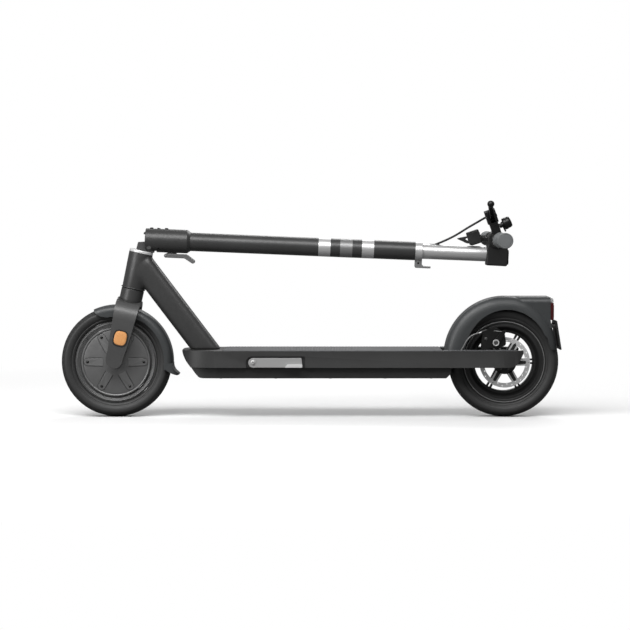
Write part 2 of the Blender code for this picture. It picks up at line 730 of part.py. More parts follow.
def build_latch(latch, bolt_slide):
    """A finger lever under the sleeve, and the bolt that it draws back into the sleeve."""
    outline = [
        (-4.7, 0.0), *arc((0.0, 0.0), 4.7, 195.0, 345.0, 6), (4.7, 44.0), (14.4, 61.5), (11.3, 66.0),
        (6.6, 64.5), (-4.7, 47.5),
    ]
    lever = prism("latch_lever", latch, outline, -9.0, 9.0)
    cut(lever, block("cut_latch_fork", latch, (-10.0, -4.2, -10.0), (10.0, 4.2, 7.5)))
    grey_metal(lever)
    bolt = [(stem_x(18.8), -12.6), (stem_x(16.5), -14.6), (stem_x(12.8), -14.6), (stem_x(12.8), 22.0),
            (stem_x(18.8), 22.0)]
    grey_metal(prism("latch_bolt", bolt_slide, bolt, -5.2, 5.2))


def build_stem_tubes(stem):
    centre = (stem_x(0.0), 0.0, 0.0)
    bore = UPPER_RADIUS + GAP
    charcoal(pipe("stem_tube", stem, STEM_RADIUS, bore, 42.0, STEM_END, centre, "Z", 28))
    upper = pipe("upper_tube", stem, UPPER_RADIUS, 14.5, 560.0, 790.0, centre, "Z", 28)
    entry = [(700.0, 29.0), (700.0, 36.5), (638.0, 12.0), (640.0, 5.0)]
    cut(upper, prism("cut_cable_entry", stem, stem_outline(entry), -3.4, 3.4))
    bright_metal(upper)


def build_bag_hook(stem):
    """A clamp round the upper tube, with a lug below it and a hook for a bag."""
    inner = UPPER_RADIUS + GAP
    ring = pipe("bag_hook", stem, 21.4, inner, STEM_END + GAP, 629.2, (stem_x(0.0), 0.0, 0.0), "Z", 24)
    lug = [
        (STEM_END + GAP, -19.0), (STEM_END + GAP, -36.5), (615.0, -38.7), (649.0, -38.7), (650.5, -36.6),
        (649.0, -34.5), (632.0, -34.5), (629.2, -32.0), (629.2, -19.0),
    ]
    join(ring, prism("hook_lug", stem, stem_outline(lug), -7.0, 7.0))
    hole = (stem_x(-27.4), 0.0, 620.7)
    cut(
        ring,
        rod("cut_hook_bore", stem, inner, 600.0, 640.0, (stem_x(0.0), 0.0, 0.0), "Z", 24),
        rod("cut_hook_bolt", stem, 2.2, -20.0, 20.0, hole, steps=12),
    )
    bright_metal(ring)


def build_head(stem, button_slide):
    """The block that joins the stem and the handlebar, with the display on its top end."""
    outline = [
        (HEAD_BLOCK_START, -25.9), (HEAD_BLOCK_END - 2.0, -26.4), (HEAD_BLOCK_END, -24.0),
        (HEAD_BLOCK_END, 14.0), (818.0, 28.0), (BAR_T, BAR_N), (779.0, 28.0), (HEAD_BLOCK_START, 14.0),
    ]
    head = rounded(prism("stem_head", stem, stem_outline(outline), -21.5, 21.5), 3.0, 2, 30.0)
    clamp = rod("bar_clamp", stem, 19.6, -27.0, 27.0, (stem_x(BAR_N), 0.0, BAR_T), steps=20)
    join(head, clamp)
    cut(
        head,
        rod("cut_head_socket", stem, UPPER_RADIUS + GAP, 760.0, 790.5, (stem_x(0.0), 0.0, 0.0), "Z", 24),
        rod("cut_head_bar", stem, BAR_RADIUS + GAP, -40.0, 40.0, (stem_x(BAR_N), 0.0, BAR_T)),
        rod("cut_button_well", stem, 5.4, 820.0, 840.0, (stem_x(-16.0), 0.0, 0.0), "Z", 20),
    )
    black_plastic(head)
    panel = [(stem_x(-22.5), -16.0), (stem_x(11.0), -16.0), (stem_x(11.0), 16.0), (stem_x(-22.5), 16.0)]
    display = slab("display_panel", stem, panel, HEAD_BLOCK_END + GAP, HEAD_BLOCK_END + 2.3)
    hole = rod("cut_display_button", stem, 5.4, 820.0, 840.0, (stem_x(-16.0), 0.0, 0.0), "Z", 20)
    paint(cut(display, hole), (0.01, 0.01, 0.012), 0.08)
    button = [(0.0, 822.5), (5.0, 822.5), (5.0, 828.6), (4.2, 829.2), (0.0, 829.2)]
    grey_metal(turned("power_button", button_slide, button, (stem_x(-16.0), 0.0, 0.0), "Z", 20, solid=True))


def build_handlebar(stem):
    bar = (stem_x(BAR_N), 0.0, BAR_T)
    end = BAR_HALF - 6.0
    grey_metal(pipe("handlebar", stem, BAR_RADIUS, 8.8, -end, end, bar, steps=24))
    for name, side in (("grip_left", -1.0), ("grip_right", 1.0)):
        inner = BAR_RADIUS + GAP
        profile = [
            (inner, GRIP_INNER), (15.5, GRIP_INNER), (GRIP_RADIUS, GRIP_INNER + 5.0), (16.6, 190.0),
            (GRIP_RADIUS, BAR_HALF - 9.0), (GRIP_RADIUS, BAR_HALF - 1.5), (GRIP_RADIUS - 1.5, BAR_HALF),
            (0.0, BAR_HALF), (0.0, end + GAP), (inner, end + GAP),
        ]
        grip = [(radius, side * y) for radius, y in profile]
        rubber(grip_solid(name, stem, grip, bar))


def grip_solid(name, stem, grip, bar):
    """A grip that is open at its inner end and closed at its outer end."""
    opened = grip[8:] + grip[:8]
    return turned(name, stem, opened, bar, steps=28, solid=True)


def build_headlight(stem):
    """A box light below the bar, tipped to the road, on a short bracket."""
    tip = math.radians(20.7)
    u = (math.cos(tip), math.sin(tip))
    v = (math.sin(tip), -math.cos(tip))
    corner = (728.5, 46.3)
    along = 28.5
    deep = 31.5

    def place(a, b):
        return corner[0] + a * u[0] + b * v[0], corner[1] + a * u[1] + b * v[1]

    outline = [place(0, 0), place(along, 0), place(along, deep), place(0, deep)]
    light = rounded(prism("headlight", stem, stem_outline(outline), -17.0, 17.0), 2.5, 2, 50.0)
    bracket = [(755.0, 40.0), (776.9, 37.5), (776.9, 29.5), (757.0, 30.0)]
    join(light, prism("headlight_bracket", stem, stem_outline(bracket), -6.0, 6.0))
    black_plastic(light)


def build_throttle(stem, paddle_pivot):
    """A thumb throttle inside the right grip: a clamp on the bar and a sprung paddle."""
    bar = (stem_x(BAR_N), 0.0, BAR_T)
    black_plastic(pipe("throttle_housing", stem, 19.0, BAR_RADIUS + GAP, 92.0, 111.7, bar, steps=20))
    paddle = pipe("throttle_paddle", paddle_pivot, 17.0, BAR_RADIUS + GAP, 112.0, 128.0, (0, 0, 0), steps=20)
    outline = [
        (-9.0, -13.0), (6.0, -13.0), (13.5, -53.0), (11.0, -59.0), (3.0, -81.5), (0.5, -81.5),
        (-5.5, -54.0),
    ]
    hole = [(7.0, -52.5), (-1.0, -55.0), (3.0, -62.0)]
    blade = prism("throttle_blade", paddle_pivot, outline, 115.0, 125.0)
    join(paddle, cut(blade, prism("cut_throttle_hole", paddle_pivot, hole, 100.0, 140.0)))
    black_plastic(paddle)


def build_brake_lever(stem, perch, lever_pivot):
    """A perch clamped inside the left grip, and the lever that it carries."""
    bar = (56.0, 0.0, 0.0)
    body = [(46.0, -9.0), (46.0, 13.0), (14.0, 17.0), (-11.0, 17.0), (-11.0, -9.0), (12.0, -9.0)]
    holder = slab("brake_perch", perch, body, -12.0, 12.0)
    ring = rod("perch_clamp", perch, 16.0, -9.0, 13.0, bar, steps=20)
    barrel = rod("perch_barrel", perch, 4.4, 10.0, 24.0, (-2.0, 0.0, -6.3), steps=16)
    join(holder, ring, barrel)
    slot = [(-20.0, -20.0), (-20.0, 9.5), (10.0, 9.5), (18.0, -20.0)]
    cut(
        holder,
        rod("cut_perch_bar", perch, BAR_RADIUS + GAP, -20.0, 25.0, bar),
        slab("cut_perch_slot", perch, slot, -5.4, 5.4),
    )
    black_plastic(holder)
    blade = [(-5.0, 4.0), (0.0, 6.5), (5.0, 4.5), (6.5, -4.0), (4.0, -20.0), (-8.0, -50.0), (-18.0, -78.0),
             (-25.0, -100.0), (-32.0, -99.0), (-27.5, -74.0), (-18.0, -48.0), (-9.5, -20.0), (-7.0, -4.0)]
    lever = slab("brake_lever", lever_pivot, blade, -5.0, 5.0)
    ball = [(0.0, -8.2), (4.1, -7.1), (7.1, -4.1), (8.2, 0.0), (7.1, 4.1), (4.1, 7.1), (0.0, 8.2)]
    join(lever, turned("lever_ball", lever_pivot, ball, (-29.5, -103.0, 0.0), "Z", 16, solid=True))
    grey_metal(lever)


def build_brake_cable(stem):
    """From the perch to the hole in the upper tube, held at both ends."""
    route = [
        (770.9, 86.3, -75.6), (770.3, 85.9, -66.0), (764.5, 82.0, -53.0), (752.0, 73.5, -41.0),
        (731.0, 59.5, -28.0), (704.0, 40.5, -13.0), (681.0, 27.5, -4.0), (662.0, 18.5, 0.0),
        (646.0, 11.2, 0.0),
    ]
    black_plastic(cable("brake_cable", stem, [(stem_x(n), y, t) for t, n, y in route], 2.4))


def build_bell(bell, striker_pivot):
    """A small bell on a post beside the perch, drawn about its own axis."""
    dome = [
        (0.0, 9.0), (13.6, 9.0), (13.6, 15.0), (13.0, 23.0), (10.5, 26.5), (0.0, 27.5),
    ]
    body = turned("bell", bell, dome, axis="Z", steps=28, solid=True)
    join(body, rod("bell_post", bell, 4.6, 2.0, 12.0, (0, 0, 0), "Z", 16))
    black_plastic(body)
    lever = [(5.1, -3.0), (17.0, -2.0), (17.0, 2.0), (5.1, 3.0)]
    striker = slab("bell_striker", striker_pivot, lever, 4.6, 8.6)
    join(striker, pipe("striker_ring", striker_pivot, 7.5, 4.9, 4.6, 8.6, (0, 0, 0), "Z", 16))
    grey_metal(striker)


# ---------------------------------------------------------------- assembly
def main():
    clear_scene()
    root = pivot("scooter", None, (0.0, 0.0, 0.0))
    head = pivot("head_tube_axis", root, (FRONT_AXLE_X, 0.0, AXLE_Z), HEAD_TILT)
    steering = pivot("steering_axis", root, (FRONT_AXLE_X, 0.0, AXLE_Z), HEAD_TILT)
    front_wheel = pivot("front_wheel_axis", steering, (0.0, 0.0, 0.0), -HEAD_TILT)
    stem = pivot("fold_axis", steering, (HINGE_SETBACK, 0.0, HINGE_HEIGHT), UNFOLD_TURN)
    rear_wheel = pivot("rear_wheel_axis", root, REAR_AXLE)

    build_main_frame(root, head)
    build_headset_bearings(head)
    build_deck(root)
    build_deck_mat(root)
    build_belly_cover(root)
    build_electrics(root)
    build_rear_arms(root)
    build_rear_fender(root)
    build_tail(root)
    cap_pivot = pivot("charge_cap_axis", root, (CHARGE_PORT[0], 86.6, CHARGE_PORT[2] + 14.0))
    build_charge_port(root, cap_pivot)
    build_kickstand(root, pivot("kickstand_axis", root, KICKSTAND_PIVOT))

    build_front_wheel(front_wheel, steering)
    build_rear_wheel(rear_wheel, root)
    build_caliper(root, pivot("caliper_arm_axis", root, CALIPER_PIVOT), pivot("pad_slide", root, (0, 0, 0)))
    build_rear_cable(root)

    build_steerer(steering)
    build_hinge_base(steering)
    build_fork(steering)
    build_front_fender(steering)

    build_hinge_sleeve(stem)
    latch = pivot("latch_axis", stem, (LATCH_X, 0.0, LATCH_PIVOT[0]))
    build_latch(latch, pivot("latch_bolt_slide", stem, (0, 0, 0)))
    build_stem_tubes(stem)
    build_bag_hook(stem)
    build_head(stem, pivot("power_button_slide", stem, (0, 0, 0)))
    build_handlebar(stem)
    build_headlight(stem)
    build_throttle(stem, pivot("throttle_axis", stem, (stem_x(BAR_N), 0.0, BAR_T)))
    lever_place = (stem_x(LEVER_PIVOT[1]), LEVER_Y, LEVER_PIVOT[0])
    perch = pivot("perch_frame", stem, lever_place, LEVER_TURN)
    build_brake_lever(stem, perch, pivot("brake_lever_axis", stem, lever_place, LEVER_TURN))
    build_brake_cable(stem)
    bell_place = (stem_x(66.0), -104.0, 797.0)
    bell = pivot("bell_axis", stem, bell_place, BELL_TURN)
    build_bell(bell, pivot("bell_striker_axis", stem, bell_place, BELL_TURN))


main()
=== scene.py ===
"""Looks of the folded electric kick scooter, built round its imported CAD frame.

Shapes are drawn in millimetres in the frame of the joint or axis that they belong to, and
piece() turns them into metres of the shared frame.  +Z is up, the scooter points along -X and
its left side is -Y.  In the stem's frame Z runs up the stem from the fold pin's height and X
is -n, where n is the way to the front of the unfolded stem, measured from the tube's axis.
"""

import json
import math

import bmesh
import bpy
from mathutils import Matrix, Vector


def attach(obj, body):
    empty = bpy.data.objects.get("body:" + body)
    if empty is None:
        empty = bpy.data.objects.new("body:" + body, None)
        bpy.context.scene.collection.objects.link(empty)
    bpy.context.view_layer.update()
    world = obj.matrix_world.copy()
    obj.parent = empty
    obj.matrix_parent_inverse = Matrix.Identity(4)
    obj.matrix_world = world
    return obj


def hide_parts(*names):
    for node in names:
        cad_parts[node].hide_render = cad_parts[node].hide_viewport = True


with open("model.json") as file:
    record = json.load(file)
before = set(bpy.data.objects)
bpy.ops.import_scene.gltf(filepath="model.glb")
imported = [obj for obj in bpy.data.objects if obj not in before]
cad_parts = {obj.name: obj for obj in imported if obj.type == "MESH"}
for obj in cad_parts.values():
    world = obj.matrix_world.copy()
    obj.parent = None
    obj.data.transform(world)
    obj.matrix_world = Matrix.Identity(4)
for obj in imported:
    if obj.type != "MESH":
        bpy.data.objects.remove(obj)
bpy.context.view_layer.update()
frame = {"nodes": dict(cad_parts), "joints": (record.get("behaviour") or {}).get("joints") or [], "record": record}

MM = 0.001
JOINTS = {joint["name"]: joint for joint in frame["joints"]}


# ---------------------------------------------------------------- frames
def frame_at(place, up=(0, 0, 1)):
    """A frame at a point in metres, with its Z along a direction and its Y across the scooter."""
    z = Vector(up).normalized()
    y = Vector((0, 1, 0))
    matrix = Matrix((y.cross(z), y, z)).transposed().to_4x4()
    matrix.translation = Vector(place)
    return matrix


def at_joint(name, up=(0, 0, 1)):
    return frame_at(JOINTS[name]["pos_m"], up)


STEM_UP = JOINTS["latch_bolt_draw"]["axis"]
PIN_SETBACK = 16.5
TYRE_RADIUS = 127
FRONT_AXLE = (-449, 0, TYRE_RADIUS)
REAR_AXLE = (445, 0, TYRE_RADIUS)
CHARGE_PORT = (-186, 0, 134)
ROOT = Matrix.Identity(4)
STEERING = at_joint("front_wheel_spin", JOINTS["steering_turn"]["axis"])
FRONT_WHEEL = at_joint("front_wheel_spin")
REAR_WHEEL = at_joint("rear_wheel_spin")
PIN = at_joint("stem_fold", STEM_UP)
STEM = PIN @ Matrix.Translation((-PIN_SETBACK * MM, 0, 0))
LATCH = at_joint("latch_lever_pull", STEM_UP)
THROTTLE = at_joint("throttle_push", STEM_UP)
LEVER = at_joint("brake_lever_pull", JOINTS["brake_lever_pull"]["axis"])
BELL = at_joint("bell_striker_flick", JOINTS["bell_striker_flick"]["axis"])
CALIPER_ARM = at_joint("caliper_arm_turn")
KICKSTAND = at_joint("kickstand_swing")
ON_FRAME = (ROOT, "frame")
ON_STEERING = (STEERING, "steering")
ON_FRONT_WHEEL = (FRONT_WHEEL, "front_wheel")
ON_REAR_WHEEL = (REAR_WHEEL, "rear_wheel")
ON_STEM = (STEM, "stem")
SIDES = (("left", -1), ("right", 1))


# ---------------------------------------------------------------- outlines
LONGEST_REACH = 0.49  # share of an edge that the rounding of one corner may take


def turns(start, stop, steps):
    """Angles in radians between two angles in degrees, both ends included."""
    return [math.radians(start + (stop - start) * i / steps) for i in range(steps + 1)]


def arc(centre, radius, start, stop, steps=12):
    """Points along an arc between two angles in degrees, both ends included."""
    return [(centre[0] + radius * math.cos(a), centre[1] + radius * math.sin(a))
            for a in turns(start, stop, steps)]


def rounded(corners, closed=True, steps=5):
    """An outline whose corners given as (a, b, radius) are rounded off by arcs."""
    points = []
    count = len(corners)
    for i, corner in enumerate(corners):
        here = Vector(corner[:2])
        if len(corner) == 2 or (not closed and i in (0, count - 1)):
            points.append(tuple(here))
            continue
        back = Vector(corners[i - 1][:2]) - here
        ahead = Vector(corners[(i + 1) % count][:2]) - here
        half = back.angle(ahead) / 2
        reach = min(corner[2] / math.tan(half), LONGEST_REACH * back.length, LONGEST_REACH * ahead.length)
        centre = here + (back.normalized() + ahead.normalized()).normalized() * (reach / math.cos(half))
        start = here + back.normalized() * reach - centre
        stop = here + ahead.normalized() * reach - centre
        first = math.atan2(start.y, start.x)
        turn = (math.atan2(stop.y, stop.x) - first + math.pi) % (2 * math.pi) - math.pi
        for k in range(steps + 1):
            angle = first + turn * k / steps
            points.append((centre.x + start.length * math.cos(angle),
                           centre.y + start.length * math.sin(angle)))
    return points


def rectangle(low, high, radius):
    """A rectangle between two opposite corners, with its four corners rounded."""
    return rounded([(*low, radius), (high[0], low[1], radius), (*high, radius), (low[0], high[1], radius)])


def smooth_line(points, steps=6):
    """A Catmull-Rom curve through points of any dimension."""
    knots = [Vector(point) for point in points]
    ends = [knots[0] * 2 - knots[1]] + knots + [knots[-1] * 2 - knots[-2]]
    line = []
    for a, b, c, d in zip(ends, ends[1:], ends[2:], ends[3:]):
        for i in range(steps):
            f = i / steps
            spot = (b * 2 + (c - a) * f + (a * 2 - b * 5 + c * 4 - d) * f ** 2
                    + (b * 3 - a - c * 3 + d) * f ** 3) / 2
            line.append(tuple(spot))
    line.append(tuple(knots[-1]))
    return line


def oval(centre, half_width, half_height, power=2, steps=48):
    """A superellipse: an ellipse at power 2, squarer above it."""
    points = []
    for i in range(steps):
        angle = 2 * math.pi * i / steps
        c = math.cos(angle)
        s = math.sin(angle)
        points.append((centre[0] + math.copysign(abs(c) ** (2 / power), c) * half_width,
                       centre[1] + math.copysign(abs(s) ** (2 / power), s) * half_height))
    return points


def mirrored(half):
    """A closed outline of (place, y) points from its +Y half."""
    return list(half) + [(x, -y) for x, y in reversed(half)]


# ---------------------------------------------------------------- solids, as bmeshes in millimetres
WELD = 0.002  # points closer than this are one point after a Boolean


def laid(a, b, level, axis):
    """A flat point at a level along an axis: (x, z) along Y, (x, y) along Z or (y, z) along X."""
    return {"Y": (a, level, b), "Z": (a, b, level), "X": (level, a, b)}[axis]


def skin(bm, rings, closed=False):
    """Faces from each ring of vertices to the next, and from the last to the first if closed."""
    for low, high in zip(rings, rings[1:] + (rings[:1] if closed else [])):
        for i in range(len(low)):
            j = (i + 1) % len(low)
            bm.faces.new([low[i], low[j], high[j], high[i]])


def prism(outline, low, high, axis="Y"):
    """A flat outline with a thickness along an axis."""
    bm = bmesh.new()
    rings = [[bm.verts.new(laid(a, b, level, axis)) for a, b in outline] for level in (low, high)]
    bm.faces.new(rings[0])
    bm.faces.new(rings[1])
    skin(bm, rings)
    bmesh.ops.recalc_face_normals(bm, faces=bm.faces)
    return bm


def loft(rings):
    """Skins rings that have the same number of points, and caps both ends."""
    bm = bmesh.new()
    rows = [[bm.verts.new(point) for point in ring] for ring in rings]
    skin(bm, rows)
    bm.faces.new(rows[0])
    bm.faces.new(rows[-1])
    bmesh.ops.recalc_face_normals(bm, faces=bm.faces)
    return bm


def lathe(profile, axis="Z", steps=96, centre=(0, 0, 0)):
    """Turns (radius, height) points about an axis; the profile closes on the axis or on itself."""
    bm = bmesh.new()
    rings = []
    for radius, height in profile:
        ring = []
        for i in range(1 if radius == 0 else steps):
            angle = 2 * math.pi * i / steps
            spot = laid(radius * math.cos(angle), radius * math.sin(angle), height, axis)
            ring.append(bm.verts.new(Vector(centre) + Vector(spot)))
        rings.append(ring)
    pairs = list(zip(rings, rings[1:]))
    if profile[0][0] != 0:
        pairs.append((rings[-1], rings[0]))
    for low, high in pairs:
        for i in range(steps):
            j = (i + 1) % steps
            corners = [low[i % len(low)], low[j % len(low)], high[j % len(high)], high[i % len(high)]]
            bm.faces.new(list(dict.fromkeys(corners)))
    bmesh.ops.recalc_face_normals(bm, faces=bm.faces)
    return bm


def turned(profile, axis="Z", steps=96, centre=(0, 0, 0), arc_steps=5):
    """A lathed solid from a profile whose corners (radius, height, rounding) are rounded off."""
    return lathe(rounded(profile, False, arc_steps), axis, steps, centre)


def disc(radius, low, high, axis="Z", centre=(0, 0, 0), edge=0, steps=48):
    """A round plate or rod with its two rims rounded off."""
    return turned([(0, low), (radius, low, edge), (radius, high, edge), (0, high)], axis, steps, centre, 3)


def ring(outer, inner, low, high, axis="Z", centre=(0, 0, 0), edge=0, steps=96):
    profile = rounded([(outer, low, edge), (outer, high, edge), (inner, high, edge), (inner, low, edge)],
                      True, 3)
    return lathe(profile, axis, steps, centre)


def box(low, high):
    outline = [(low[0], low[2]), (high[0], low[2]), (high[0], high[2]), (low[0], high[2])]
    return prism(outline, low[1], high[1])


def tube(route, radius, sides=16):
    """A round bar along a line of points, with flat ends."""
    points = [Vector(point) for point in route]
    side = Vector((0, 1, 0))
    rings = []
    for i, point in enumerate(points):
        ahead = (points[min(i + 1, len(points) - 1)] - points[max(i - 1, 0)]).normalized()
        side = (side - ahead * side.dot(ahead)).normalized()
        other = ahead.cross(side)
        angles = [2 * math.pi * k / sides for k in range(sides)]
        rings.append([point + side * radius * math.cos(a) + other * radius * math.sin(a) for a in angles])
    return loft(rings)


def placed(bm, matrix):
    bmesh.ops.transform(bm, matrix=matrix, verts=bm.verts)
    return bm


def spun(bm, degrees, axis="Y"):
    """Turns a solid about an axis through the origin."""
    return placed(bm, Matrix.Rotation(math.radians(degrees), 4, axis))


def pointing(bm, centre, direction):
    """Moves a solid drawn round +Z so that it stands at a point and looks along a direction."""
    turn = Vector((0, 0, 1)).rotation_difference(Vector(direction)).to_matrix().to_4x4()
    return placed(bm, Matrix.Translation(Vector(centre)) @ turn)


def gathered(*solids):
    """Several solids as one mesh, each still closed by itself."""
    whole = bmesh.new()
    for solid in solids:
        mesh = bpy.data.meshes.new("part")
        solid.to_mesh(mesh)
        solid.free()
        whole.from_mesh(mesh)
        bpy.data.meshes.remove(mesh)
    return whole


def evaluated(obj):
    """The object's mesh after its modifiers, as a bmesh; the object is removed."""
    graph = bpy.context.evaluated_depsgraph_get()
    result = bmesh.new()
    result.from_mesh(obj.evaluated_get(graph).to_mesh())
    bpy.data.objects.remove(obj, do_unlink=True)
    return result


def helper(bm):
    mesh = bpy.data.meshes.new("helper")
    bm.to_mesh(mesh)
    bm.free()
    obj = bpy.data.objects.new("helper", mesh)
    bpy.context.scene.collection.objects.link(obj)
    return obj


def combined(operation, first, *others):
    """A Boolean of one solid with others, one after another."""
    for other in others:
        base = helper(first)
        tool = helper(other)
        modifier = base.modifiers.new("combine", "BOOLEAN")
        modifier.operation = operation
        modifier.solver = "EXACT"
        modifier.object = tool
        first = evaluated(base)
        bpy.data.objects.remove(tool, do_unlink=True)
        bmesh.ops.remove_doubles(first, verts=first.verts, dist=WELD)
        bmesh.ops.dissolve_degenerate(first, edges=first.edges, dist=WELD)
    return first


def cut(first, *others):
    return combined("DIFFERENCE", first, *others)


def union(first, *others):
    return combined("UNION", first, *others)


def common(first, *others):
    return combined("INTERSECT", first, *others)


def eased(bm, width, segments=3, angle=30):
    """Rounds the edges that turn more than an angle, through a Bevel modifier."""
    obj = helper(bm)
    modifier = obj.modifiers.new("ease", "BEVEL")
    modifier.width = width
    modifier.segments = segments
    modifier.limit_method = "ANGLE"
    modifier.angle_limit = math.radians(angle)
    modifier.use_clamp_overlap = True
    modifier.loop_slide = True
    return evaluated(obj)


def melted(bm, grain, passes):
    """Blends the parts of a solid into one skin with soft corners, like a casting or a weld."""
    obj = helper(bm)
    remesh = obj.modifiers.new("skin", "REMESH")
    remesh.mode = "VOXEL"
    remesh.voxel_size = grain
    smooth = obj.modifiers.new("smooth", "SMOOTH")
    smooth.factor = 0.5
    smooth.iterations = passes
    return evaluated(obj)


def piece(name, bm, seat, material, replaces=(), angle=35, weighted=True):
    """Turns a solid into an object of the scooter, in metres; its seat is a frame and a CAD body."""
    place, body = seat
    bmesh.ops.transform(bm, matrix=place @ Matrix.Scale(MM, 4), verts=bm.verts)
    bmesh.ops.recalc_face_normals(bm, faces=bm.faces)
    mesh = bpy.data.meshes.new(name)
    bm.to_mesh(mesh)
    bm.free()
    mesh.shade_smooth()
    mesh.set_sharp_from_angle(angle=math.radians(angle))
    mesh.materials.append(material)
    obj = bpy.data.objects.new(name, mesh)
    bpy.context.scene.collection.objects.link(obj)
    if weighted:
        modifier = obj.modifiers.new("flat faces stay flat", "WEIGHTED_NORMAL")
        modifier.keep_sharp = True
    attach(obj, body)
    if replaces:
        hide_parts(*replaces)
    return obj


# ---------------------------------------------------------------- materials
def grey(value):
    """A neutral linear colour from a 0 to 255 display value."""
    return display_colour(value, value, value)


def display_colour(red, green, blue):
    linear = []
    for value in (red, green, blue):
        c = value / 255
        linear.append(c / 12.92 if c <= 0.04045 else ((c + 0.055) / 1.055) ** 2.4)
    return (*linear, 1)


class Nodes:
    """Short calls for the nodes of one material."""

    def __init__(self, name):
        self.material = bpy.data.materials.new(name)
        self.material.use_nodes = True
        self.tree = self.material.node_tree
        self.shader = self.tree.nodes["Principled BSDF"]

    def add(self, kind, **settings):
        node = self.tree.nodes.new(kind)
        for key, value in settings.items():
            setattr(node, key, value)
        return node

    def link(self, source, target):
        self.tree.links.new(source, target)

    def place(self, stretch=(1, 1, 1)):
        """The object's own coordinates in metres, stretched."""
        mapping = self.add("ShaderNodeMapping")
        mapping.inputs["Scale"].default_value = stretch
        self.link(self.add("ShaderNodeTexCoord").outputs["Object"], mapping.inputs["Vector"])
        return mapping.outputs["Vector"]

    def noise(self, scale, detail=2, stretch=(1, 1, 1)):
        node = self.add("ShaderNodeTexNoise")
        node.inputs["Scale"].default_value = scale
        node.inputs["Detail"].default_value = detail
        self.link(self.place(stretch), node.inputs["Vector"])
        return node.outputs["Fac"]

    def spread(self, value, low, high, start=0.3, stop=0.7):
        """Maps a 0 to 1 value to a range of numbers."""
        node = self.add("ShaderNodeMapRange")
        for key, number in (("From Min", start), ("From Max", stop), ("To Min", low), ("To Max", high)):
            node.inputs[key].default_value = number
        self.link(value, node.inputs["Value"])
        return node.outputs["Result"]

    def mix(self, factor, first, second):
        """Mixes two colours, each a linear colour or a node's output, by a node's output."""
        node = self.add("ShaderNodeMix", data_type="RGBA")
        for key, colour in ((6, first), (7, second)):
            if isinstance(colour, tuple):
                node.inputs[key].default_value = colour
            else:
                self.link(colour, node.inputs[key])
        self.link(factor, node.inputs[0])
        return node.outputs[2]

    def bump(self, height, strength, distance):
        node = self.add("ShaderNodeBump")
        node.inputs["Strength"].default_value = strength
        node.inputs["Distance"].default_value = distance
        self.link(height, node.inputs["Height"])
        self.link(node.outputs["Normal"], self.shader.inputs["Normal"])


def scaled(colour, factor):
    return (*(channel * factor for channel in colour[:3]), 1)


def surface(name, colour, roughness, metallic=0, grain=1400, depth=0.00008, bump=0.25, mottle=0.10,
            stretch=(1, 1, 1), worn=0, coat=0, uneven=0.05):
    """A finish with soft colour variation, a fine grain, uneven gloss and rubbed edges."""
    nodes = Nodes(name)
    shade = nodes.mix(nodes.spread(nodes.noise(9, 3), 0, 1), scaled(colour, 1 - mottle),
                      scaled(colour, 1 + mottle))
    if worn:
        edge = nodes.add("ShaderNodeNewGeometry").outputs["Pointiness"]
        rubbed = nodes.spread(edge, 0, worn, 0.53, 0.60)
        shade = nodes.mix(rubbed, shade, scaled(colour, 2.2))
    nodes.link(shade, nodes.shader.inputs["Base Color"])
    gloss = nodes.spread(nodes.noise(160, 3, stretch), roughness - uneven, roughness + uneven)
    nodes.link(gloss, nodes.shader.inputs["Roughness"])
    nodes.shader.inputs["Metallic"].default_value = metallic
    nodes.shader.inputs["Coat Weight"].default_value = coat
    nodes.bump(nodes.noise(grain, 2, stretch), bump, depth)
    return nodes.material


def clear_lens(name, colour, dark):
    """Moulded transparent plastic over a prism pattern."""
    nodes = Nodes(name)
    wave = nodes.add("ShaderNodeTexVoronoi")
    wave.inputs["Scale"].default_value = 700
    nodes.link(nodes.place(), wave.inputs["Vector"])
    shade = nodes.mix(nodes.spread(wave.outputs["Distance"], 0, 1, 0.1, 0.7), colour, dark)
    nodes.link(shade, nodes.shader.inputs["Base Color"])
    nodes.link(nodes.spread(nodes.noise(300), 0.10, 0.20), nodes.shader.inputs["Roughness"])
    nodes.shader.inputs["Coat Weight"].default_value = 0.6
    nodes.shader.inputs["Coat Roughness"].default_value = 0.05
    nodes.bump(wave.outputs["Distance"], 0.25, 0.0002)
    return nodes.material


PAINT = surface("charcoal_powder_coat", grey(66), 0.38, 0.35, worn=0.2)
FENDER = surface("charcoal_moulding", display_colour(57, 59, 60), 0.42, grain=1900, bump=0.2, worn=0.12)
PLASTIC = surface("black_moulding", grey(32), 0.46, grain=1700, bump=0.2, worn=0.12)
BLACK_METAL = surface("black_casting", grey(22), 0.34, 0.3, grain=1100, bump=0.15, worn=0.3)
GLOSS = surface("gloss_black_panel", grey(14), 0.09, grain=400, bump=0.03, mottle=0.05, coat=0.5)
SILVER = surface("satin_aluminium", grey(206), 0.37, 0.66, grain=2200, bump=0.03, mottle=0.03, uneven=0.02,
                 stretch=(0.04, 1, 1))
BAND = surface("silver_band", grey(206), 0.36, 0.6, grain=1500, bump=0.04, mottle=0.04)
DULL_BAND = surface("dull_band", grey(136), 0.40, 0.5, grain=1500, bump=0.05, mottle=0.04)
STEEL = surface("plated_steel", grey(150), 0.34, 0.85, grain=1500, bump=0.04, mottle=0.05)
DARK_STEEL = surface("grey_plated_steel", grey(100), 0.38, 0.7, grain=1200, bump=0.05, mottle=0.06)
STAND = surface("zinc_plate", grey(168), 0.42, 0.3, grain=1500, bump=0.04, mottle=0.05)
BRAKE_STEEL = surface("ground_steel", grey(226), 0.42, 0.6, grain=2600, bump=0.04, mottle=0.04)
TYRE = surface("tyre_rubber", grey(44), 0.54, grain=1500, bump=0.15, mottle=0.12, worn=0.2)
MAT = surface("mat_rubber", display_colour(92, 93, 95), 0.60, grain=1600, depth=0.0001, bump=0.3, worn=0.2)
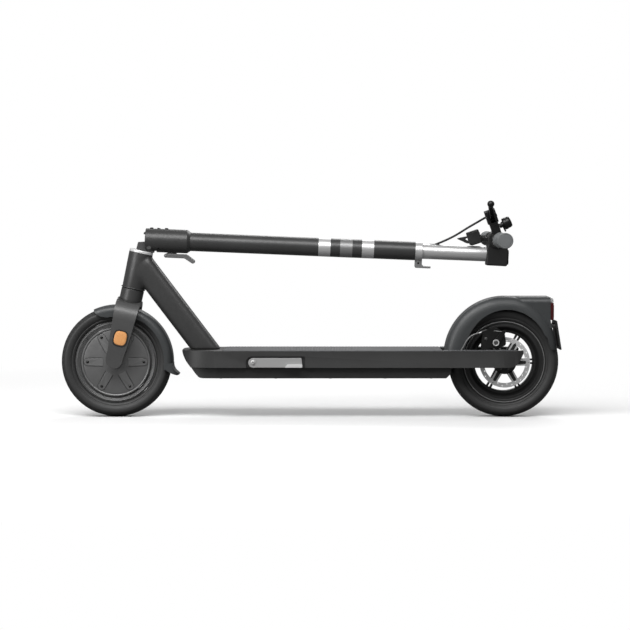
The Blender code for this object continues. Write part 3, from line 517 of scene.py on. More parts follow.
GRIP = surface("grip_rubber", display_colour(104, 106, 107), 0.56, grain=1500, depth=0.0001, bump=0.3)
SEAL = surface("seal_rubber", grey(20), 0.6, grain=1500, bump=0.2)
SHEATH = surface("cable_sheath", grey(24), 0.40, grain=1800, bump=0.1)
CABLE_GREY = surface("grey_cable_sheath", grey(110), 0.32, 0.3, grain=1800, bump=0.1)
COPPER = surface("laminated_core", display_colour(120, 84, 60), 0.4, 0.8, grain=900, bump=0.2)
WRAP = surface("battery_wrap", display_colour(40, 84, 130), 0.35, grain=600, bump=0.2)
FORK_PAINT = surface("fork_powder_coat", grey(79), 0.40, 0.3, worn=0.2)
# Lighter zinc: the collar's own bright finish, and a painted highlight where the stand's foot uses it.
BRIGHT_ZINC_AND_PAINTED_HIGHLIGHT = surface("bright_zinc_and_painted_highlight", grey(224), 0.36, 0.3, grain=1500, bump=0.04, mottle=0.04)
HUB_PAINT = surface("hub_powder_coat", grey(118), 0.40, 0.6, bump=0.08, worn=0.3)
LATCH_ALLOY = surface("latch_alloy", grey(124), 0.40, 0.5, bump=0.06, worn=0.3)
RIM_PAINT = surface("rim_black", grey(44), 0.38, 0.4, bump=0.08, worn=0.3)
AMBER = clear_lens("amber_lens", display_colour(234, 176, 116), display_colour(216, 150, 92))
RED = clear_lens("red_lens", display_colour(112, 34, 38), display_colour(70, 12, 16))
CLEAR = clear_lens("clear_lens", grey(232), grey(170))


# ---------------------------------------------------------------- small parts that repeat
def in_mm(place):
    """A frame's matrix with its place in millimetres, for mixing shapes of two frames."""
    matrix = place.copy()
    matrix.translation = place.translation / MM
    return matrix


def along_stem(points):
    """Side-view points (t, n, radius of rounding) as the stem frame's (x, z, radius)."""
    return [(-point[1], point[0], *point[2:]) for point in points]


def hexagon(radius):
    return arc((0, 0), radius, 0, 300, 5)


def on_circle(radius, degrees, y=0):
    """A point beside a wheel, at an angle about its axle."""
    turn = math.radians(degrees)
    return radius * math.cos(turn), y, radius * math.sin(turn)


def cap_screw(radius, height, centre, direction, socket=0.5):
    """A low button head with a hexagon socket; its foot is at the centre."""
    crown = [(radius, 0.45 * height), (0.8 * radius, 0.85 * height), (0.45 * radius, height), (0, height)]
    head = lathe([(0, 0), (radius, 0)] + smooth_line(crown, 3), "Z", 32)
    screw = cut(head, prism(hexagon(socket * radius), 0.35 * height, 2 * height, "Z"))
    return pointing(screw, centre, direction)


def nut(radius, low, high, centre, direction):
    """A hexagon nut on a washer, with the end of its bolt."""
    body = eased(prism(hexagon(radius), low, high, "Z"), 0.5, 2)
    washer = disc(1.25 * radius, low - 1.2, low, edge=0.3)
    end = disc(0.55 * radius, high - 0.5, high + 1.5, edge=0.4)
    return pointing(gathered(body, washer, end), centre, direction)


# ---------------------------------------------------------------- frame and deck
NOSE_PLAN = [(-296.5, 0), (-296.3, 24), (-291.5, 48), (-277, 67), (-251, 79), (-215, 84.6)]
DECK_TOP = 155.5
DECK_REAR = 300
RAIL_BOTTOM = 117.3
BELLY_BOTTOM = 92.5
RIB_PITCH = 3.5


def nose_curve(side_scale=1, shift=0):
    return [(x + shift, y * side_scale) for x, y in smooth_line(NOSE_PLAN, 6)][1:]


def build_frame_tubes():
    """Head tube and down tube, welded and ground into one smooth casting."""
    foot = (Vector((-207.5, 0, DECK_TOP + 0.3)), Vector((-278.4, 0, DECK_TOP + 0.3)))
    top = (Vector((-369.6, 0, 370.5)), Vector((-390.5, 0, 304)))
    in_head = [in_mm(STEERING) @ Vector((0, 0, level)) for level in (254, 190)]
    half_width = 27
    unit_oval = oval((0, 0), 1, 1, 3.2, 64)
    sections = []
    for rear, front in (foot, top, in_head):
        middle = (rear + front) / 2
        reach = (rear - front) / 2
        sections.append([middle + reach * a + Vector((0, half_width * b, 0)) for a, b in unit_oval])
    core = placed(lathe([(0, 173), (25.6, 173), (27.5, 255.8), (0, 255.8)]), in_mm(STEERING))
    tubes = melted(gathered(loft(sections), core), 1.6, 40)
    head = turned([(0, 171.8), (25.6, 171.8, 0.6), (27.6, 256.4, 0.6), (0, 256.4)], steps=128)
    tubes = gathered(tubes, placed(head, in_mm(STEERING)))
    piece("frame_tubes", tubes, ON_FRAME, PAINT, ["main_frame"], 50, False)
    lip = lathe(rounded([(27.9, -1.2, 1), (27.9, 1.2, 1), (24, 1.2), (24, -1.2)], steps=3),
                centre=(0, 0, 173.6))
    piece("head_tube_lip", lip, (STEERING, "frame"), PAINT)


def build_deck():
    side = [(-295.4, DECK_TOP), (-296.5, 154.2)]
    side += smooth_line([(-292.6, 144), (-285.8, 131.5), (-274.5, RAIL_BOTTOM)], 4)
    side += [(448, RAIL_BOTTOM)] + arc((452, 146), 28.7, -84, -25, 8)
    side += [(485, 147), (486.6, 151.5), (486, 154.5), (483.5, DECK_TOP)]
    half = nose_curve() + smooth_line([(425, 84.6), (450, 82.6), (470, 77), (483, 69)], 4)
    half += [(487, 64), (487, 59), (478, 57), (306, 57), (301, 54)]
    deck = eased(common(prism(side, -90, 90), prism(mirrored(half), 100, 170, "Z")), 1.4, 3, 38)
    mat_recess = box((-201.8, -80, 153.4), (DECK_REAR + 0.6, 80, 165))
    stand_pocket = prism(rounded([(-147.6, 110), (-147.6, 143.4, 13.5), (-13.4, 143.4, 2.5), (-13.4, 110)]),
                         -95, -79)
    charge_hole = disc(9.2, 60, 95, "Y", CHARGE_PORT)
    cable_hole = disc(3.6, 0, 40, "X", (290, -50, 136))
    deck = cut(deck, mat_recess, stand_pocket, charge_hole, cable_hole)
    piece("deck_body", deck, ON_FRAME, PAINT, ["deck_chassis", "rear_arm_left", "rear_arm_right"])


def ribbed_sheet(width_at, x_low, x_high, z_low, z_top, relief):
    """A rubber sheet whose top is moulded into ribs across the deck; width_at gives its edges."""
    rows = []
    count = round((x_high - x_low) / RIB_PITCH)
    for i in range(count):
        for share, level in ((0, 0), (0.22, 0), (0.38, 1), (0.84, 1)):
            x = x_low + (i + share) * (x_high - x_low) / count
            low, high = width_at(x)
            top = z_top - relief * (1 - level)
            rows.append([(x, low, z_low), (x, high, z_low), (x, high, top - 0.5), (x, high - 0.6, top),
                         (x, low + 0.6, top), (x, low, top - 0.5)])
    return loft(rows)


def build_mat():
    front = -201.3
    corner = 22

    def mat_edges(x):
        half = 79.6
        if x - front < corner:
            half -= corner - math.sqrt(max(0, corner ** 2 - (corner - x + front) ** 2))
        return -half, half

    mat = ribbed_sheet(mat_edges, front, DECK_REAR - 0.6, 153.5, 156.8, 1.6)
    piece("ribbed_mat", mat, ON_FRAME, MAT, ["deck_mat"], 30, False)
    for word, side in SIDES:
        def strip_edges(x, side=side):
            outer = 80 - max(0, x - 430) * 0.34
            return tuple(sorted((side * 60.5, side * outer)))

        strip = ribbed_sheet(strip_edges, DECK_REAR + 3, 468, 154.6, 157, 1.4)
        piece(f"arm_tread_{word}", strip, ON_FRAME, MAT, (), 30, False)


def build_belly():
    side = [(-276, 120)] + smooth_line([(-274.3, 117), (-266.5, 106), (-257, 95.4), (-251, 92.9)], 4)
    side += [(-246, BELLY_BOTTOM), (309, BELLY_BOTTOM), (320.5, 104), (320.5, 117)]
    half = nose_curve(72.5 / 84.6, 3) + [(325, 72.5)]
    cover = eased(common(prism(side, -90, 90), prism(mirrored(half), 80, 125, "Z")), 1.2)
    wheel_space = disc(133, -46, 46, "Y", REAR_AXLE, steps=128)
    groove = prism(rectangle((-215, -60), (285, 60), 14), 92, 93.4, "Z")
    island = prism(rectangle((-213, -58), (283, 58), 12.5), 91, 94, "Z")
    cover = cut(cover, wheel_space, cut(groove, island))
    piece("belly_shell", cover, ON_FRAME, PLASTIC, ["belly_cover"])
    screws = [cap_screw(3.4, 1.6, (x, y, BELLY_BOTTOM + 0.7), (0, 0, -1)) for x in (-205, -80, 45, 170, 275)
              for y in (-66, 66)]
    piece("belly_screws", gathered(*screws), ON_FRAME, DARK_STEEL)


def build_stand():
    leg = rounded(arc((0, -0.8), 10.8, 90, 270, 24) + [(112.4, -11.6, 2), (110.5, 10, 2.5)])
    stand = eased(prism(leg, -3.5, 3.6), 0.7, 2)
    foot = rounded([(72, -11.5, 0.8), (78, -4.4, 2), (112.3, -4.4, 1.5), (112.3, -11.5, 1.5)])
    plate = eased(prism(foot, -10.5, 0), 0.8, 2)
    piece("stand_leg", stand, (KICKSTAND, "kickstand"), STAND, ["kickstand"])
    # The foot takes a lighter zinc than the leg of the same plating: a painted highlight on the flange that faces
    # the front.
    piece("stand_foot", plate, (KICKSTAND, "kickstand"), BRIGHT_ZINC_AND_PAINTED_HIGHLIGHT)
    bolt = gathered(cap_screw(5.4, 2.6, (0, -3.6, 0), (0, -1, 0), 0.36), disc(6.6, -4, -3.4, "Y", edge=0.2))
    piece("stand_bolt", bolt, (KICKSTAND, "frame"), BAND, ["kickstand_bolt"])


def build_charge_port():
    place = frame_at(Vector(CHARGE_PORT) * MM)
    socket = ring(9, 5.5, 72, 84.7, "Y", edge=0.6)
    floor = disc(6.5, 72, 75, "Y")
    pins = [disc(0.9, 74.5, 81, "Y", on_circle(2.2, turn), 0.4, 16) for turn in (0, 120, 240)]
    piece("charge_socket", gathered(socket, floor, *pins), (place, "frame"), PLASTIC, ["charge_port"])
    lid = turned([(0, -1.2), (12, -1.2, 0.5), (12, 0.9, 1.2), (9.4, 1.8, 0.5), (8.8, 1.3, 0.3), (0, 1.3)],
                 "Y", 64, (0, 0, -14), 3)
    tab = eased(box((-5, -1.1, -9), (5, 1.2, 0.9)), 0.6, 2)
    hinge = (at_joint("charge_cap_swing"), "charge_port_cap")
    piece("charge_lid", gathered(lid, tab), hinge, MAT, ["charge_port_cap"])


# ---------------------------------------------------------------- wheels
TREAD_COLUMNS = 360
TREAD_BLOCKS = 60
TREAD_FOOT = 117.5  # radius below which the tyre is plain sidewall
SHOULDER = 27.5


def tread_depth(turn, y):
    """How deep the tyre's surface lies below its crown line, by turn (0 to 1) and side y."""
    across = abs(y)
    if across > SHOULDER:
        return 0
    wave = 1.4 * math.sin(math.pi * turn * TREAD_BLOCKS)
    if abs(across - 8.5 - wave) < 1.2:
        return 1.7
    step = (turn * TREAD_BLOCKS + (0.035 * across if across > 8.5 else 0.5 + 0.04 * y)) % 1
    if across > 10 and step < 0.22:
        return 1.5 * min(1, (SHOULDER - across) / 5)
    if across < 7 and step < 0.17:
        return 1.1
    return 0


def build_tyre(name, seat, node):
    """A tubeless tyre: bead, raised rim guard, bulging sidewall and grooved tread."""
    wall = [(93.8, 19), (94.2, 21.6), (95.4, 23.2), (98.2, 25.4), (99.8, 26), (100.8, 25.5), (101.8, 25.8),
            (103.4, 27.4), (105.6, 28.8), (108.6, 29.8), (111.6, 30.2), (114.4, 30.1), (116.8, 29.4)]
    half_crown = 28.2
    levels = [half_crown - 2 * half_crown * i / 52 for i in range(53)]
    crown = [(TYRE_RADIUS - 9 * abs(y / half_crown) ** 2.6, y) for y in levels]
    bm = bmesh.new()
    rings = []
    for radius, y in wall + crown + [(radius, -y) for radius, y in reversed(wall)]:
        column = []
        for i in range(TREAD_COLUMNS):
            angle = 2 * math.pi * i / TREAD_COLUMNS
            r = radius - (tread_depth(i / TREAD_COLUMNS, y) if radius > TREAD_FOOT else 0)
            column.append(bm.verts.new((r * math.cos(angle), y, r * math.sin(angle))))
        rings.append(column)
    skin(bm, rings, closed=True)
    piece(name, bm, seat, TYRE, [node], 40, False)


HUB_SLOPE = 0.072
HUB_SCREW = 64.8


def hub_outline(grow=0):
    """Plan of a pad on the hub face: a bar that ends round its screw."""
    end = arc((HUB_SCREW, 0), 8.2 + grow, -78, 78, 16)
    return [(29, -9.2 - grow), (52, -8.6 - grow)] + end + [(52, 8.6 + grow), (29, 9.2 + grow)]


def on_hub(shape, side, turn):
    """Lays a shape drawn on a flat face, with Z outwards, along the slope of the hub's dome."""
    for vertex in shape.verts:
        vertex.co.z += 29.3 - HUB_SLOPE * (vertex.co.x - 48)
    return pointing(spun(shape, turn, "Z"), (0, 0, 0), (0, side, 0))


def build_hub_face(side):
    """One side of the hub: a shallow dome with a lip, an axle boss and six pads in grooves."""
    profile = [(6.3, 20), (6.3, 33.5), (13.5, 33.5), (15, 32.4), (16.5, 31.2), (28, 30.7), (45, 29.5),
               (60, 28.4), (70, 27.6), (74.4, 26.6), (75.2, 28), (76.4, 28.6), (78.2, 28.4), (79.5, 27),
               (79.5, 20)]
    dome = lathe([(r, side * y) for r, y in profile], "Y", 160)
    grooves = [on_hub(prism(hub_outline(1.7), -2.4, 4, "Z"), side, 60 * i) for i in range(6)]
    dome = cut(dome, *grooves)
    pads = []
    for i in range(6):
        pad = eased(prism(hub_outline(), -3, 0.9, "Z"), 0.7, 2)
        pad = cut(pad, disc(3.3, -1.2, 4, centre=(HUB_SCREW, 0, 0), steps=24))
        pads.append(on_hub(pad, side, 60 * i))
    return gathered(dome, *pads)


def build_front_wheel():
    build_tyre("front_tyre_treaded", ON_FRONT_WHEEL, "front_tyre")
    half = [(80, 18.5), (80.3, 21.6), (81, 22)]
    for i in range(4):
        ridge = ((81.5, 21.2), (82.1, 22.5), (82.9, 22.8))
        half += [(radius + 2.1 * i, y + 0.95 * i) for radius, y in ridge]
    half += [(89.8, 25.2), (90.6, 24.4), (91.2, 19.8), (93.4, 19.8)]
    piece("front_rim", lathe(mirrored(half), "Y", 160), ON_FRONT_WHEEL, HUB_PAINT)
    for (word, side), node in zip(SIDES, ("front_hub_cover", "front_hub_shell")):
        name = f"hub_face_{word}"
        piece(name, build_hub_face(side), ON_FRONT_WHEEL, HUB_PAINT, [node], 30)
        screws = [cap_screw(2.9, 1.7, on_circle(HUB_SCREW, 60 * i, side * 27.2), (0, side, 0))
                  for i in range(6)]
        piece(f"{name}_screws", gathered(*screws), ON_FRONT_WHEEL, GLOSS)
    valve = gathered(disc(2.6, 0, 9, edge=0.6), disc(3.4, 1, 3, edge=0.4))
    piece("front_valve", pointing(valve, (0, 24, -86.5), (0, 0.96, 0.28)), ON_FRONT_WHEEL, SEAL)


def build_rear_wheel():
    build_tyre("rear_tyre_treaded", ON_REAR_WHEEL, "rear_tyre")
    rim = [(67.5, 11), (68.6, 13.5), (73.5, 14.6), (75, 17), (77.5, 19), (79.2, 22), (81, 23.4), (84, 23.8),
           (86.2, 23.2), (88, 23.9), (91.5, 24.2), (93.4, 22.6)]
    hub = [(12.4, -38.7), (18.6, -38.7), (19, -38), (19, -28), (25.5, -25), (26, -24), (22.5, -18),
           (22.5, 18), (26, 24), (22, 28), (12.4, 28)]
    wheel = [lathe(mirrored(rim), "Y", 160), lathe(hub, "Y")]
    bar = [(20, 3.2), (24, 7.4), (58, 5.6), (72, 6.8), (72, 2.2), (58, 2.4), (24, 2.6)]
    for i in range(6):
        for side in (-1, 1):
            spoke = eased(prism([(x, side * z) for x, z in bar], -9, 9), 1, 2)
            wheel.append(spun(spoke, 60 * i))
    piece("rear_rim_spoked", gathered(*wheel), ON_REAR_WHEEL, RIM_PAINT, ["rear_rim"], 30)
    # A lighter metal ring on each rim edge: a machined lip, and partly a painted highlight, as its lighter grey
    # stands in for the bright line of the lip's sheen.
    for word, side in SIDES:
        lip = ring(93.7, 91.6, *sorted((side * 22, side * 24.9)), "Y", edge=0.7, steps=160)
        piece(f"rear_rim_lip_{word}", lip, ON_REAR_WHEEL, DULL_BAND)
    build_disc()
    axle_nut = nut(8, 61, 66.5, (0, 0, 0), (0, 1, 0))
    piece("rear_axle_nut_inner", axle_nut, (REAR_WHEEL, "frame"), DARK_STEEL)


def build_disc():
    """The brake disc: a drilled ring on six arms, screwed to the hub."""
    windows = []
    for i in range(6):
        middle = 60 * i + 30
        inner = arc((0, 0), 25.5, middle - 12, middle + 12, 4)
        outer = arc((0, 0), 47.5, middle + 21, middle - 21, 10)
        corners = [(*p, 2) if k in (0, 4) else p for k, p in enumerate(inner)]
        corners += [(*p, 2.5) if k in (0, 10) else p for k, p in enumerate(outer)]
        windows.append(prism(rounded(corners, steps=3), -46, -34))
    for i in range(30):
        radius = 50 if i % 2 else 54.2
        windows.append(disc(1.25, -46, -34, "Y", on_circle(radius, 12 * i), steps=12))
    plate = cut(ring(58, 12.3, -41, -39, "Y", edge=0.25, steps=144), gathered(*windows))
    piece("drilled_disc", plate, ON_REAR_WHEEL, BRAKE_STEEL, ["brake_disc"])
    arms = [ring(27, 12.6, -41.5, -41.1, "Y", edge=0.1)]
    for i in range(6):
        arm = rounded([(24, -4.2), (49, -3.4, 3), (49, 3.4, 3), (24, 4.2)])
        arms.append(spun(prism(arm, -41.5, -41.1), 60 * i))
    piece("disc_spider", gathered(*arms), ON_REAR_WHEEL, RIM_PAINT)
    screws = [cap_screw(2.6, 1.6, on_circle(17, 60 * i, -41.4), (0, -1, 0)) for i in range(6)]
    piece("disc_screws", gathered(*screws), ON_REAR_WHEEL, DARK_STEEL)


# ---------------------------------------------------------------- fenders and light
FENDER_CENTRE = (449, 137)
GUARD_CREST = [(200, 141), (80, 141), (70, 139.4), (60, 135.8), (50, 132.2), (40, 129), (33, 126.6),
               (24, 122.6), (10, 117.4), (0, 113)]
GUARD_WALL = 3


def between(table, at):
    """Straight-line reading of a falling table of (place, value)."""
    for (high, first), (low, second) in zip(table, table[1:]):
        if at >= low:
            return second + (first - second) * (at - low) / (high - low)
    return table[-1][1]


def guard_section(crest):
    """Closed section (radius, y) of the guard: sides that roll over into the crown."""
    rise = 27
    half_crown = 27
    outer = [(84, 43.6), (crest - 38, 44.8)]
    inner = [(84, 43.6 - GUARD_WALL), (crest - 38, 44.8 - GUARD_WALL)]
    for t in turns(0, 90, 9):
        outer.append((crest - rise + rise * math.sin(t), half_crown + 18 * math.cos(t)))
        inner.append((crest - rise + (rise - GUARD_WALL) * math.sin(t),
                      half_crown + (18 - GUARD_WALL) * math.cos(t)))
    return mirrored(outer) + [(r, -y) for r, y in inner] + [(r, y) for r, y in reversed(inner)]


def build_rear_fender():
    """A rounded band that wraps the wheel, and behind it a slimmer box for the tail light."""
    centre_x, centre_z = FENDER_CENTRE
    rings = []
    for i in range(101):
        angle = 187 - 1.86 * i
        c = math.cos(math.radians(angle))
        s = math.sin(math.radians(angle))
        section = guard_section(between(GUARD_CREST, angle))
        rings.append([(centre_x + r * c, y, centre_z + r * s) for r, y in section])
    trim = arc(FENDER_CENTRE, 150, 188, 22, 24) + [(582, 170), (572, 155.4), (556, 155.2)]
    trim += smooth_line([(551.5, 157.6), (547.2, 167), (543.4, 182)], 3)
    trim += [(450 + 98 * math.cos(a), 138 + 110 * math.sin(a)) for a in turns(28, 172, 36)]
    trim += [(346.2, 120.2), (300, 120.2)]
    band = common(loft(rings), prism(trim, -60, 60))
    band = eased(cut(band, box((528, -30.9, 100), (600, 30.9, 223))), 0.8, 2, 55)
    side = rounded([(452, 262), (452, 277.8), (546.8, 278, 2.5), (549.8, 274, 2), (550.4, 223), (554, 206),
                    (540, 205), (518, 226), (470, 262)])
    across = rounded([(-37.6, 150), (-38, 278.2, 15), (38, 278.2, 15), (37.6, 150)])
    tail = common(prism(side, -44, 44), prism(across, 440, 570, "X"))
    inside = [(440, 190), (440, 275), (546.6, 275), (547.2, 223), (550, 190)]
    inside_across = rounded([(-35, 150), (-35, 275.2, 12), (35, 275.2, 12), (35, 150)])
    hollow = common(prism(inside, -44, 44), prism(inside_across, 430, 580, "X"))
    tail = eased(cut(tail, hollow, box((540, -28.3, 222.7), (580, 28.3, 270.3))), 1, 3, 55)
    piece("rear_guard", gathered(band, tail), ON_FRAME, FENDER, ["rear_fender"], 40)


def build_tail_light():
    lens = rounded([(547, 223.4), (557.6, 223.4, 1.5), (558.9, 226, 1), (558.4, 263.4, 0.8), (547, 263.4)])
    red = [eased(prism(lens, -27.8, 27.8), 1, 3, 40)]
    for i in range(7):
        across = -25.2 + 7.2 * i
        red.append(eased(box((555, across, 229), (559.4, across + 6.4, 258)), 0.8, 2))
    piece("tail_lens", gathered(*red), ON_FRAME, RED, ["tail_light"])
    strip = rounded([(550.6, 264.4), (558.2, 264.4, 0.6), (557.4, 272, 1.8), (554, 274.8, 1), (550.6, 274.8)])
    piece("tail_clear_strip", eased(prism(strip, -27.8, 27.8), 0.6, 2), ON_FRAME, CLEAR)
    plate = [(561, 216, 1), (562.6, 223.2, 1), (565.2, 222.2, 1), (575.9, 156.2, 1), (572.2, 155.4, 1),
             (569.6, 166)]
    black = eased(prism(rounded(plate), -40, 40), 0.8, 2)
    feet = [eased(box((551.5, y, 206), (563.5, y + 14, 213.5)), 1.2, 2) for y in (-37, 23)]
    feet.append(eased(box((560, -34, 158.5), (572.5, 34, 161.5)), 1, 2))
    piece("tail_plate", gathered(black, *feet), ON_FRAME, PLASTIC, ["reflector_plate"])
    top = Vector((565.4, 0, 218))
    bottom = Vector((575.2, 0, 161))
    across = Vector((0, 1, 0))
    down = (bottom - top).normalized()
    out = Vector((-down.z, 0, down.x))
    pane = eased(prism(rectangle((-34, -21), (34, 21), 4), -0.6, 0.5, "Z"), 0.4, 2)
    turn = Matrix((across, out.cross(across), out)).transposed().to_4x4()
    turn.translation = (top + bottom) / 2
    piece("tail_reflector", placed(pane, turn), ON_FRAME, RED)


def front_fender_skirt(angle):
    """Radius that the front fender's side skirts reach down to, at an angle round the wheel."""
    low = 104.8
    if angle > 111:
        return low + 25.7 * (1 - math.sqrt(max(0, 1 - ((angle - 111) / 15) ** 2)))
    blend = min(1, max(0, (angle - 66) / 26))
    return low + 6.7 - 6.7 * blend * blend * (3 - 2 * blend)


def build_front_fender():
    outer = rounded([(100, -36), (131, -36, 20), (131, 36, 20), (100, 36)], False, 8)
    inner = rounded([(100, 33.6), (128.6, 33.6, 17.6), (128.6, -33.6, 17.6), (100, -33.6)], False, 8)
    band = loft([[(r * math.cos(a), y, r * math.sin(a)) for r, y in outer + inner]
                 for a in turns(3, 127, 90)])
    tip = 125.6
    skirt = [(front_fender_skirt(angle), math.radians(angle)) for angle in [tip - 1.4 * i for i in range(88)]]
    trim = arc((0, 0), 140, 4, tip, 24) + [(r * math.cos(a), r * math.sin(a)) for r, a in skirt]
    shell = eased(common(band, prism(trim, -50, 50)), 0.7, 2, 50)
    flap = smooth_line([(-318.2, 124), (-317.6, 116), (-313.4, 107.2), (-303.6, 99.4)], 5)
    flap += smooth_line([(-303.9, 97.4), (-309, 96.6), (-320.5, 100.6), (-330, 106.2), (-337.2, 114),
                         (-339, 124)], 5)
    plan = rounded([(-345, -35.9), (-303.2, -35.9, 26), (-303.2, 35.9, 26), (-345, 35.9)], True, 10)
    tail = common(prism(flap, -35.9, 35.9), prism(plan, 90, 130, "Z"))
    tail = cut(tail, disc(129, -33.6, 33.6, "Y", FRONT_AXLE, steps=180))
    tail = placed(eased(tail, 0.9, 2, 40), in_mm(STEERING).inverted())
    mount = eased(box((-9, -10, 129.8), (9, 10, 134.2)), 1, 2)
    piece("front_guard", gathered(shell, tail, mount), ON_STEERING, FENDER, ["front_fender"], 40)


# ---------------------------------------------------------------- steering
def reflector_outline(half_width, half_height):
    return oval((1, 58.2), half_width, half_height, 3, 64)


def build_fork():
    side = smooth_line([(26.2, 147.4), (26.6, 130), (25.4, 108), (22.4, 62), (16.8, 9)], 4)
    side += arc((-2.2, 6.4), 19.1, -6, -174, 28)
    side += smooth_line([(-21.2, 9), (-23.4, 55), (-26.5, 105), (-28, 130), (-28, 147.4)], 4)
    side += smooth_line([(-24, 145), (-13, 141.2), (0, 139.8), (13, 141.2), (24, 145)], 3)
    outer = smooth_line([(64, 92), (63.6, 106), (60.6, 120), (54, 131), (44, 139.5), (28, 146), (0, 149)], 4)
    inner = smooth_line([(48, 96), (47, 110), (43, 122), (35, 131.6), (22, 135.4)], 4)
    half = outer[-2::-1] + [(64, -20), (48, -20)] + inner
    arch = [(0, 149)] + half + [(-y, z) for y, z in reversed(half)]
    fork = eased(common(prism(side, -70, 70), prism(arch, -50, 50, "X")), 3, 4, 38)
    pocket = reflector_outline(17.3, 19.4)
    fork = cut(fork, prism(pocket, -75, -62.4), prism(pocket, 62.4, 75))
    piece("fork_crown_and_legs", fork, ON_STEERING, FORK_PAINT, ["fork"])
    dome = ((62, 1), (64.3, 1), (65.6, 0.93), (66, 0.84), (66.2, 0.55))
    for word, side_y in SIDES:
        rings = [[(x, side_y * y, z) for x, z in reflector_outline(14.5 * s, 16.4 * s)] for y, s in dome]
        piece(f"amber_{word}", loft(rings), ON_STEERING, AMBER, [f"reflector_{word}"], 25, False)
        # A black rim round each reflector, widened to the dark edge at its right and bottom: partly a rubber rim,
        # partly painted shadow in the pocket.
        rim = prism(reflector_outline(17.1, 19.2), *sorted((side_y * 62, side_y * 65.2)))
        opening = prism(reflector_outline(14.6, 16.5), *sorted((side_y * 61, side_y * 67)))
        piece(f"amber_{word}_border", eased(cut(rim, opening), 0.5, 2, 50), ON_STEERING, SEAL)


def build_steerer():
    neck = turned([(0, 134), (24.8, 134), (26.2, 146, 3), (26.2, 171.2, 1.2), (15, 171.2), (15, 258, 1),
                   (0, 258)])
    piece("steering_neck", neck, ON_STEERING, PAINT, ["steerer_tube"])
    collar = rounded([(27.4, 256.7, 0.5), (27.4, 261, 1.2), (25.9, 263.2, 0.8), (23.3, 263.2, 0.5),
                      (23.3, 258.6), (15.3, 258.6), (15.3, 256.7)])
    piece("bright_collar", lathe(collar, steps=144), ON_STEERING, BRIGHT_ZINC_AND_PAINTED_HIGHLIGHT, ["headset_collar"])
    pin = (PIN_SETBACK, 273.9)
    lug = [(-12, 263.4), (29, 263.4), (29, 268)]
    lug += arc(pin, 9, 10, 95) + rounded([(1.8, 284.3), (-11.4, 280.4, 1.5), (-12, 270)], False)
    body = cut(eased(prism(lug, -12, 12), 0.9, 3, 35), disc(4.3, -30, 30, "Y", (pin[0], 0, pin[1])))
    piece("hinge_lug", gathered(body, disc(9.5, 258.3, 266)), ON_STEERING, DARK_STEEL, ["hinge_base"])


# ---------------------------------------------------------------- stem
SLEEVE = 27.1
STEM_END = 612.5
BAR = (797.3, 34.2)
BAR_PLACE = (-BAR[1], 0, BAR[0])


def build_sleeve():
    sleeve = turned([(0, -10.2), (SLEEVE, -10.2, 1.6), (SLEEVE, 86.6, 2), (21.9, 93.7, 0.8), (21.5, 93.7),
                     (21.5, 41), (0, 41)], steps=128, arc_steps=4)
    corner = [(PIN_SETBACK, -15), (40, -15), (40, 0)] + arc((PIN_SETBACK, 0), 9.9, 0, -90, 16)
    mouth = box((-21, -12.4, -20), (36.5, 12.4, 17))
    channel = box((-19.1, -5.6, -20), (-12.5, 5.6, 30))
    set_screw = (18.4, 0, 21.5)
    screw_hole = disc(2.2, -30, -14, "Y", set_screw, steps=24)
    pin_hole = disc(4.3, -30, 30, "Y", (PIN_SETBACK, 0, 0))
    sleeve = cut(sleeve, prism(corner, -40, 40), mouth, channel, screw_hole, pin_hole)
    bracket = eased(box((24, -7.5, 44), (29, 7.5, 63)), 1.2, 2)
    tongue = [(26, 63), (26, 44), (30.2, 37)] + arc((34.1, 38.7), 4, 200, 380) + [(28.9, 45.5), (28.9, 62)]
    wedge = along_stem([(15.5, 25.5), (16.5, 29.6, 0.6), (20, 29.2, 1), (27.5, 26.6), (27.5, 25.5)])
    wedge = eased(prism(rounded(wedge), -4.5, 4.5), 0.5, 2)
    piece("fold_sleeve", gathered(sleeve, bracket, prism(tongue, -3.8, 3.8), wedge), ON_STEM, PAINT,
          ["hinge_sleeve"], 32)
    screws = [cap_screw(4.2, 3, (-SLEEVE + 0.5, 0, t), (-1, 0, 0)) for t in (3.3, 37.5)]
    # A plain black set screw deep in its hole, made black so that the hole reads dark: partly a screw, partly
    # painted shade.
    screws.append(disc(2.1, -18.4, -15, "Y", set_screw, 0.3, 24))
    piece("sleeve_screws", gathered(*screws), ON_STEM, BLACK_METAL)
    head = [(0, 22.9), (4.6, 22.9, 0.6), (5.2, 22, 0.3), (5.2, 21), (4, 21)]
    pin = [(radius, -y, *edge) for radius, y, *edge in head] + head[::-1]
    piece("fold_pin", turned(pin, "Y", 48, (PIN_SETBACK, 0, 0)), ON_STEM, DARK_STEEL, ["hinge_pin"])


def build_latch():
    lever = [(-4.7, 0)] + arc((0, 0), 4.7, 195, 345)
    lever += [(4.7, 43, 8), (17.4, 63.6, 4.6), (9.6, 69, 4.6), (-4.7, 48, 8)]
    blade = eased(prism(rounded(lever), -9, 9), 1.3, 3, 35)
    blade = cut(blade, box((-10, -4.2, -10), (10, 4.2, 7.5)))
    piece("latch_finger_lever", blade, (LATCH, "latch_lever"), LATCH_ALLOY, ["latch_lever"])
    piece("latch_pivot_pin", disc(2, -9.6, 9.6, "Y", edge=0.5), (LATCH, "stem"), STEEL)


